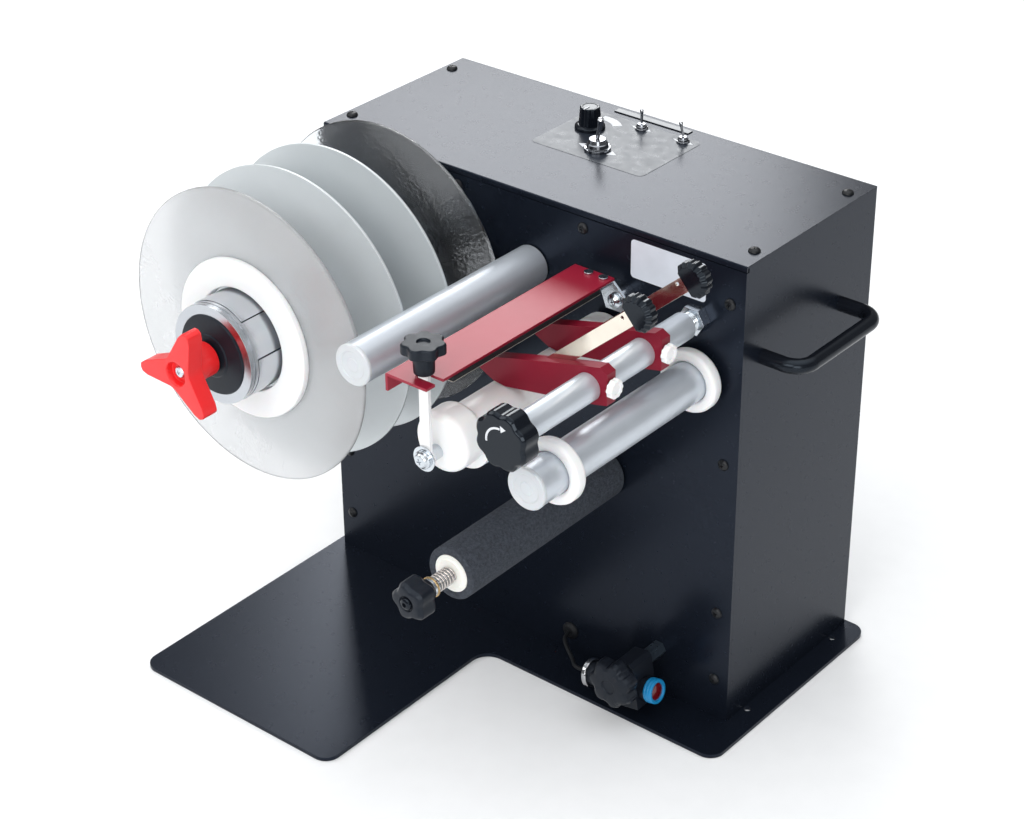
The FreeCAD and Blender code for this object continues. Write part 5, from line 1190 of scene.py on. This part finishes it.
@dataclass
class SlittingStation:
    """White bed under the hold-down bar, with the bar's hinge and its swing stud."""

    bed: Spot = Spot(271.5, 0.0, 278.0)
    cheek: Spot = Spot(271.5, 0.0, 285.0)
    radius: float = 22.0
    roll_ends: Pair = (22.0, 161.0)
    cheek_ends: Pair = (4.0, 185.0)
    edge_low: Triple = (265.0, -183.0, 334.4)
    edge_high: Triple = (282.9, -29.0, 334.7)
    stud: Spot = Spot(269.5, 0.0, 279.0)
    stud_middle: float = 195.5
    screw_face: Spot = Spot(269.5, -203.2, 279.0)
    post_face: Spot = Spot(284.5, -17.9, 324.3)
    solid_middles: tuple[Triple, ...] = (
        (269.5, -181.5, 279.0),
        (284.5, -9.0, 324.3),
        (266.8, -192.3, 173.7),
        (320.0, -10.0, 39.0),
    )

    def build(self) -> None:
        """Build and dress the slitting bed and its hold-down."""
        (back, front), (far_end, near_end) = self.roll_ends, self.cheek_ends
        roll = turned("bed_roll_piece", [(back, self.radius), (front, self.radius)], self.bed, 128, 0.4)
        near = turned("near_bed_cheek", rounded_rim(front, near_end, self.radius, 5.5), self.cheek, 128, 0)
        far = turned("far_bed_cheek", rounded_rim(far_end, back, self.radius, 4), self.cheek, 128, 0)
        fit(joined("slitting_bed_piece", [roll, near, far]), WHITE_PLASTIC, "cabinet", "white_plastic",
            "slitting_bed")
        dress("swing_stud", "clamp_stud", 0.25, PALE_ZINC, "stud", "zinc_steel")
        knob = turned("clamp_star_knob", [
            (342.6, 6.6), (343.2, 7), (356.8, 7.4), (357, 13.2), (358, 15), (363.9, 15), (365, 14),
            (365, 4.5), (363.6, 4.2),
        ], Spot(self.stud.x, -self.stud_middle, 0, Aim.UP.value),
            flutes=Flutes(7, 0.15, 356.9, 365.1, 9, 1.3, steps=8))
        fit(knob, BLACK_MATTE, "clamp", "black_plastic", "clamp_knob")
        self.build_bar()
        self.build_fixings()

    def build_bar(self) -> None:
        """Dress the slotted bar, its wiping strip and its hinge bracket, and build the strip's pale edge."""
        dress("slotted_bar", "hold_down_bar", 0.25, RED_ANODISED, "hold_down", "red_anodised")
        dress("wiping_strip", "hold_down_strip", 0.2, BLACK_RUBBER, "hold_down", "black_rubber")
        edge = block("strip_edge", self.edge_low, self.edge_high, 0.05)
        fit(edge, PALE_EDGE, "hold_down", "blade_steel")
        dress("zinc_hinge", "hinge_bracket", 0.2, ZINC, "hold_down", "zinc_steel")

    def build_fixings(self) -> None:
        """Part the panel's fixings, give each its finish, and add the stud's screw head and a washer."""
        solids = loose_solids("panel_fixings", 0.2)
        screw, post, collar, standoff = [take_nearest(solids, *middle) for middle in self.solid_middles]
        cap = turned("stud_screw_cap", [
            (197.1, 6), (198.3, 6), (198.3, 4.7), (199.6, 4.7), (199.6, 5.3), (201.4, 5.2), (202.6, 4.3),
            (203.2, 2.6),
        ], self.stud, 64, 0.15)
        cross_recess(cap, self.screw_face, 6, 1.8)
        fit(cap, ZINC, "cabinet", "zinc_steel")
        cross_recess(post, self.post_face, 5, 1.4)
        for name, solid, finish in (("stud_screw_piece", screw, ZINC), ("hinge_post_piece", post, ZINC),
                                    ("spring_washer", collar, ZINC),
                                    ("sensor_standoff", standoff, DARK_ANODISED)):
            solid.name = name
            fit(solid, finish, "cabinet", "zinc_steel", "panel_fixings")
        washer = turned("brass_washer", [(191.2, 6.8), (191.2, 7.6), (192.3, 7.6), (192.3, 6.8)], FOAM_AXIS,
                        64, 0.1, ring=True)
        fit(washer, BRASS, "cabinet", "zinc_steel")
        fit(joined("panel_nuts", solids), ZINC, "cabinet", "zinc_steel", "panel_fixings")


@dataclass
class BladeCarrier:
    """Blade shaft with its knob, and two holders with slanting blades."""

    shaft: Spot = Spot(343.7, 0.0, 325.2)
    units: tuple[tuple[str, str, float], ...] = (("near", "outer", 112.0), ("far", "inner", 53.0))
    ridges: int = 6
    ridge_pitch: float = 1.35
    slide: Spot = Spot(312.2, 0.0, 329.9, (0.0, -41.2, 0.0))
    blade_ends: Pair = (-43.0, 90.0)
    blade_half_width: float = 5.4
    tip_slant: float = 4.0
    hole: Pair = (73.0, 2.7)
    hole_radius: float = 1.25
    grip: Spot = Spot(377.3, 0.0, 386.9)
    grip_flat: Pair = (373.9, 383.9)
    flat_normal: Triple = (0.7524, 0.0, 0.6587)
    thumb_reach: Triple = (15.5, -4.5, 3.0)
    knob_front: float = 210.9
    arrow_radii: Pair = (9.4, 10.9)
    arrow_angles: Pair = (86.0, 190.0)
    arrow_tip: float = 75.0

    def build(self) -> None:
        """Build and dress the blade carrier."""
        stations = [(0, 6), (15, 6), (15, 9), (16, 10), (195, 10), (195, 7), (199, 7)]
        shaft = turned("blade_shaft_piece", stations, self.shaft)
        fit(shaft, SATIN_TUBE, "blade_carrier", "satin_aluminium", "blade_shaft")
        ridges = [(6.4, 6.1)]
        for number in range(self.ridges):
            along = 6.6 + number * self.ridge_pitch
            ridges += [(along, 6.2), (along + 0.35, 7), (along + 0.75, 7), (along + 1.1, 6.2)]
        thread = turned("shaft_neck_thread", ridges + [(14.9, 6.1)], self.shaft, 64, 0.08)
        fit(thread, ZINC, "blade_carrier", "zinc_steel")
        knob = turned("shaft_lobed_knob", [(192.8, 12), (194, 13), (194.6, 19.4), (196, 21), (208.6, 21),
                                           (210.6, 19.2), (210.9, 18)], self.shaft, bevel=0.5,
                      flutes=Flutes(8, 0.09, 194.5, 211, 15, 1.5, steps=8))
        fit(knob, BLACK_GLOSS, "blade_carrier", "black_plastic", "shaft_knob")
        self.build_arrow()
        for unit in self.units:
            self.build_unit(*unit)

    def build_arrow(self) -> None:
        """Build the plain turning arrow on the knob's face."""
        x, height = self.shaft.x, self.shaft.height
        arc = arc_band("turn_arrow_arc", self.arrow_radii, self.arrow_angles,
                       Spot(x, -self.knob_front, height))
        angle, reach = math.radians(self.arrow_tip), self.arrow_radii[1]
        tip = Spot(x + reach * math.cos(angle), -self.knob_front - PRINT / 2,
                   height + reach * math.sin(angle))
        head = arrow_head("turn_arrow_head", 2.8, tip, 8)
        fit(joined("turn_arrow", [arc, head]), PRINT_WHITE, "blade_carrier", "white_plastic")

    def build_unit(self, side: str, name: str, back: float) -> None:
        """Dress one holder, and build its blade, grip and thumb screw.

        Args:
            side: Prefix of the unit's pieces and bodies.
            name: Prefix of its nodes.
            back: Stand-off of the holder's rear face from the panel.
        """
        dress(side + "_blade_holder", name + "_holder", 0.35, RED_HOLDER, side + "_holder", "red_anodised")
        self.build_blade(side, name + "_blade", back + 1.5)
        right, out, up = self.thumb_reach
        spot = Spot(self.shaft.x + right, -back + out, self.shaft.height + up, Aim.RIGHT.value)
        screw = turned(side + "_thumb_knob", [(0.3, 6.2), (0.9, 7), (4, 7), (5, 6.2), (5, 3.6), (4.4, 3.3)],
                       spot, bevel=0.2, flutes=Flutes(10, 0.09, 0.2, 5.1, 5, 1.2, steps=5))
        fit(screw, WHITE_PLASTIC, side + "_thumb", "white_plastic", name + "_thumb_screw")

    def build_blade(self, side: str, node: str, back: float) -> None:
        """Build one slanting blade, with a slanted tip and a hole, and its ribbed half-round grip.

        Args:
            side: Prefix of the pieces.
            node: Node that they replace.
            back: Stand-off of the blade's rear face from the panel.
        """
        tip, tail = self.blade_ends
        half = self.blade_half_width
        low, high = (tip, -back - 1, -half - PLATE), (tail, -back, half - PLATE)
        plate = block(side + "_slitting_blade", low, high, 0)
        choose(plate, lambda place: place.x < 0 and place.z > 0)
        bpy.ops.transform.translate(value=(self.tip_slant * MM, 0.0, 0.0))
        leave_edit()
        along, up = self.hole
        take_away(plate, primitive("hole_tool", bpy.ops.mesh.primitive_cylinder_add, vertices=32,
                                   radius=self.hole_radius * MM, depth=4 * MM,
                                   rotation=(math.pi / 2, 0.0, 0.0),
                                   location=(along * MM, -back * MM, up * MM)))
        soften(plate, 0.3)
        fit(settle(plate, self.slide), BLADE_STEEL, side + "_blade", "blade_steel", node)
        grip = turned(side + "_blade_grip", [(back - 4.5, 11.5), (back - 3, 13), (back + 2.5, 13),
                                             (back + 5.5, 10)], self.grip, bevel=0,
                      flutes=Flutes(16, 0.08, back - 4.6, back + 5.6, 8, 1.3, steps=4))
        choose(grip)
        flat = Vector((self.grip_flat[0], -back, self.grip_flat[1] + PLATE)) * MM
        bpy.ops.mesh.bisect(plane_co=flat, plane_no=self.flat_normal, use_fill=True, clear_inner=True)
        leave_edit()
        soften(grip, 0.25)
        fit(grip, BLACK_GLOSS, side + "_blade", "black_plastic", node)


@dataclass
class WebSensor:
    """Round sensor in its clamp, with its hand knob and thin cable."""

    middle: Triple = (322.64, -32.0, 24.03)
    tilt: float = 10.0
    clamp: Spot = Spot(320.0, 0.0, 39.0)
    cable_diameter: float = 3.2
    cable_length: float = 0.0581
    route: tuple[Triple, ...] = (
        (236.8, 3.0, 17.5),
        (236.8, -9.0, 17.5),
        (245.5, -17.0, 16.0),
        (258.469, -25.0, 13.496),
        (265.521, -32.0, 13.959),
        (275.369, -32.0, 15.696),
    )

    def build(self) -> None:
        """Build and dress the sensor."""
        self.build_cable()
        spot = Spot(*self.middle, (0, 90 - self.tilt, 0))
        gland = turned("sensor_gland", [(-48, 3.2), (-45.5, 4.6), (-43.8, 4.8), (-43.8, 3)], spot, 48, 0.2)
        barrel = turned("sensor_barrel", [(-44, 8.1), (-43.4, 9), (13.5, 9), (13.5, 8)], spot, 72, 0.15)
        nut = turned("sensor_nut", [(-43, 9.02), (-43, 10.9), (-42.4, 11.5), (-39.6, 11.5), (-39, 10.9),
                                    (-39, 9.02)], spot, 72, 0.15, ring=True)
        ring = turned("sensor_ring", [
            (13.5, 8.2), (13.6, 9.4), (15, 9.6), (15.4, 9.2), (16, 9.6), (17.6, 9.6), (18, 9.2),
            (18.6, 9.6), (20.1, 9.4), (20.5, 8.8), (20.5, 7.3), (19.3, 7),
        ], spot, 96, 0.1)
        for piece, finish, slot in ((gland, BLACK_MATTE, "black_plastic"),
                                    (barrel, BLACK_MATTE, "black_plastic"), (nut, CHROME, "zinc_steel"),
                                    (ring, SENSOR_BLUE, "sensor_blue")):
            fit(piece, finish, "cabinet", slot, "sensor_body")
        lens = turned("sensor_lens", [(19, 6.9), (19.6, 6.2), (20, 4.2), (20.2, 1.2)], spot, 48, 0)
        fit(lens, LENS_RED, "cabinet", "sensor_blue")
        dress("sensor_clamp_block", "sensor_bracket", 0.4, BLACK_MATTE, "cabinet", "black_plastic")
        knob = turned("sensor_hand_knob", [
            (44.4, 11), (48.5, 11.8), (49.6, 17.6), (51.2, 19.5), (58.4, 19.5), (61.6, 17.6), (62.9, 13),
            (63, 6), (61.8, 5.4),
        ], self.clamp, bevel=0.5, flutes=Flutes(7, 0.15, 49.4, 63.1, 13.5, 1.1, steps=9))
        fit(knob, BLACK_MATTE, "sensor_clamp", "black_plastic", "sensor_knob")
        clothe(BLACK_RUBBER, "cable_grommet")

    def build_cable(self) -> None:
        """Build the thin cable on one smooth curve from the grommet to the sensor."""
        curve = bpy.data.curves.new("sensor_lead", "CURVE")
        curve.dimensions = "3D"
        curve.bevel_depth = self.cable_diameter / 2 * MM
        curve.bevel_resolution = 6
        curve.resolution_u = 24
        curve.use_fill_caps = True
        spline = curve.splines.new("NURBS")
        spline.points.add(len(self.route) - 1)
        for point, (x, y, height) in zip(spline.points, self.route):
            point.co = (x * MM, y * MM, (height + PLATE) * MM, 1.0)
        spline.use_endpoint_u = True
        spline.order_u = 3
        lead = bpy.data.objects.new("sensor_lead", curve)
        bpy.context.scene.collection.objects.link(lead)
        fit(lead, BLACK_RUBBER, "cabinet", "black_rubber", "sensor_cable")
        x, y, height = self.route[0]


@dataclass
class InnerDrive:
    """Housing, motor, coupling, electronics and power inlet."""

    def build(self) -> None:
        """Give the inner parts their finish, and soften the power inlet."""
        clothe(MACHINED_STEEL, "spindle_housing", "shaft_coupling")
        clothe(FOLDED_ZINC, "motor_bracket", "drive_electronics")
        clothe(MOTOR_PAINT, "gear_motor")
        dress("inlet_socket", "power_inlet", 0.3, BLACK_MATTE, "cabinet", "black_plastic")


@dataclass(frozen=True)
class SoftBox:
    """A rectangular light: its name, place and size in metres, and power in watts."""

    name: str
    place: Triple
    size: Pair
    power: float


@dataclass
class Studio:
    """Camera, sky, pale floor and soft lights."""

    camera_place: Triple = (1.16591, -1.19125, 1.10349)
    camera_turn: Triple = (59.58043, 0.42367, 39.36324)
    lens: float = 84.912
    film_width: float = 36.0
    sky_colour: Triple = (0.97, 0.985, 1.0)
    low_sky: float = 0.24
    high_sky: float = 2.4
    sky_starts: float = 0.62
    floor_size: float = 12.0
    floor_place: Triple = (0.2, 0.0, -0.0003)
    aim: Triple = (0.2, 0.0, 0.2)
    boxes: tuple[SoftBox, ...] = (
        SoftBox("high_back_box", (-1.0, 1.5, 1.35), (0.85, 0.75), 14.0),
        SoftBox("left_box", (-1.4, -0.9, 1.4), (1.2, 1.2), 11.0),
        SoftBox("front_box", (0.5, -2.0, 1.5), (1.4, 1.0), 19.0),
        SoftBox("right_box", (1.7, -1.5, 0.9), (1.0, 1.0), 14.0),
    )

    def build(self) -> None:
        """Build the studio."""
        scene = bpy.context.scene
        scene.view_settings.view_transform = "Standard"
        camera_data = bpy.data.cameras.new("studio_camera")
        camera_data.lens = self.lens
        camera_data.sensor_width = self.film_width
        camera = bpy.data.objects.new("studio_camera", camera_data)
        camera.location = self.camera_place
        camera.rotation_euler = [math.radians(angle) for angle in self.camera_turn]
        scene.collection.objects.link(camera)
        scene.camera = camera
        scene.world = self.build_sky()
        self.build_floor()
        for box in self.boxes:
            self.add_light(box)

    def build_sky(self) -> bpy.types.World:
        """Give a sky that is dim at the horizon and bright overhead."""
        world = bpy.data.worlds.new("studio_world")
        world.use_nodes = True
        tree = world.node_tree
        sky = tree.nodes["Background"]
        sky.inputs["Color"].default_value = (*self.sky_colour, 1.0)
        direction = tree.nodes.new("ShaderNodeTexCoord")
        parts = tree.nodes.new("ShaderNodeSeparateXYZ")
        tree.links.new(direction.outputs["Generated"], parts.inputs["Vector"])
        fade = tree.nodes.new("ShaderNodeMapRange")
        tree.links.new(parts.outputs["Z"], fade.inputs["Value"])
        for name, value in (("From Min", self.sky_starts), ("From Max", 1.0), ("To Min", self.low_sky),
                            ("To Max", self.high_sky)):
            fade.inputs[name].default_value = value
        tree.links.new(fade.outputs["Result"], sky.inputs["Strength"])
        return world

    def build_floor(self) -> None:
        """Build the pale floor."""
        bpy.ops.object.select_all(action="DESELECT")
        bpy.ops.mesh.primitive_plane_add(size=self.floor_size, location=self.floor_place)
        floor = bpy.context.object
        floor.name = "pale_floor"
        floor.data.materials.append(PALE_FLOOR.material())

    def add_light(self, box: SoftBox) -> None:
        """Add a soft box aimed at the machine."""
        data = bpy.data.lights.new(box.name, "AREA")
        data.shape = "RECTANGLE"
        data.size, data.size_y = box.size
        data.energy = box.power
        light = bpy.data.objects.new(box.name, data)
        light.location = box.place
        aim = Vector(self.aim) - Vector(box.place)
        light.rotation_euler = aim.to_track_quat("-Z", "Y").to_euler()
        bpy.context.scene.collection.objects.link(light)


def main() -> None:
    """Build every sub-assembly in order."""
    logging.basicConfig(level=logging.INFO, format="%(message)s")
    frame.update(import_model())
    for assembly in (Studio(), WebSensor(), Cabinet(), LidControls(), WindingSpindle(), Rollers(),
                     SlittingStation(), BladeCarrier(), InnerDrive()):
        assembly.build()
        LOGGER.info("built %s", type(assembly).__name__)
    bpy.context.view_layer.update()


if __name__ == "__main__":
    main()
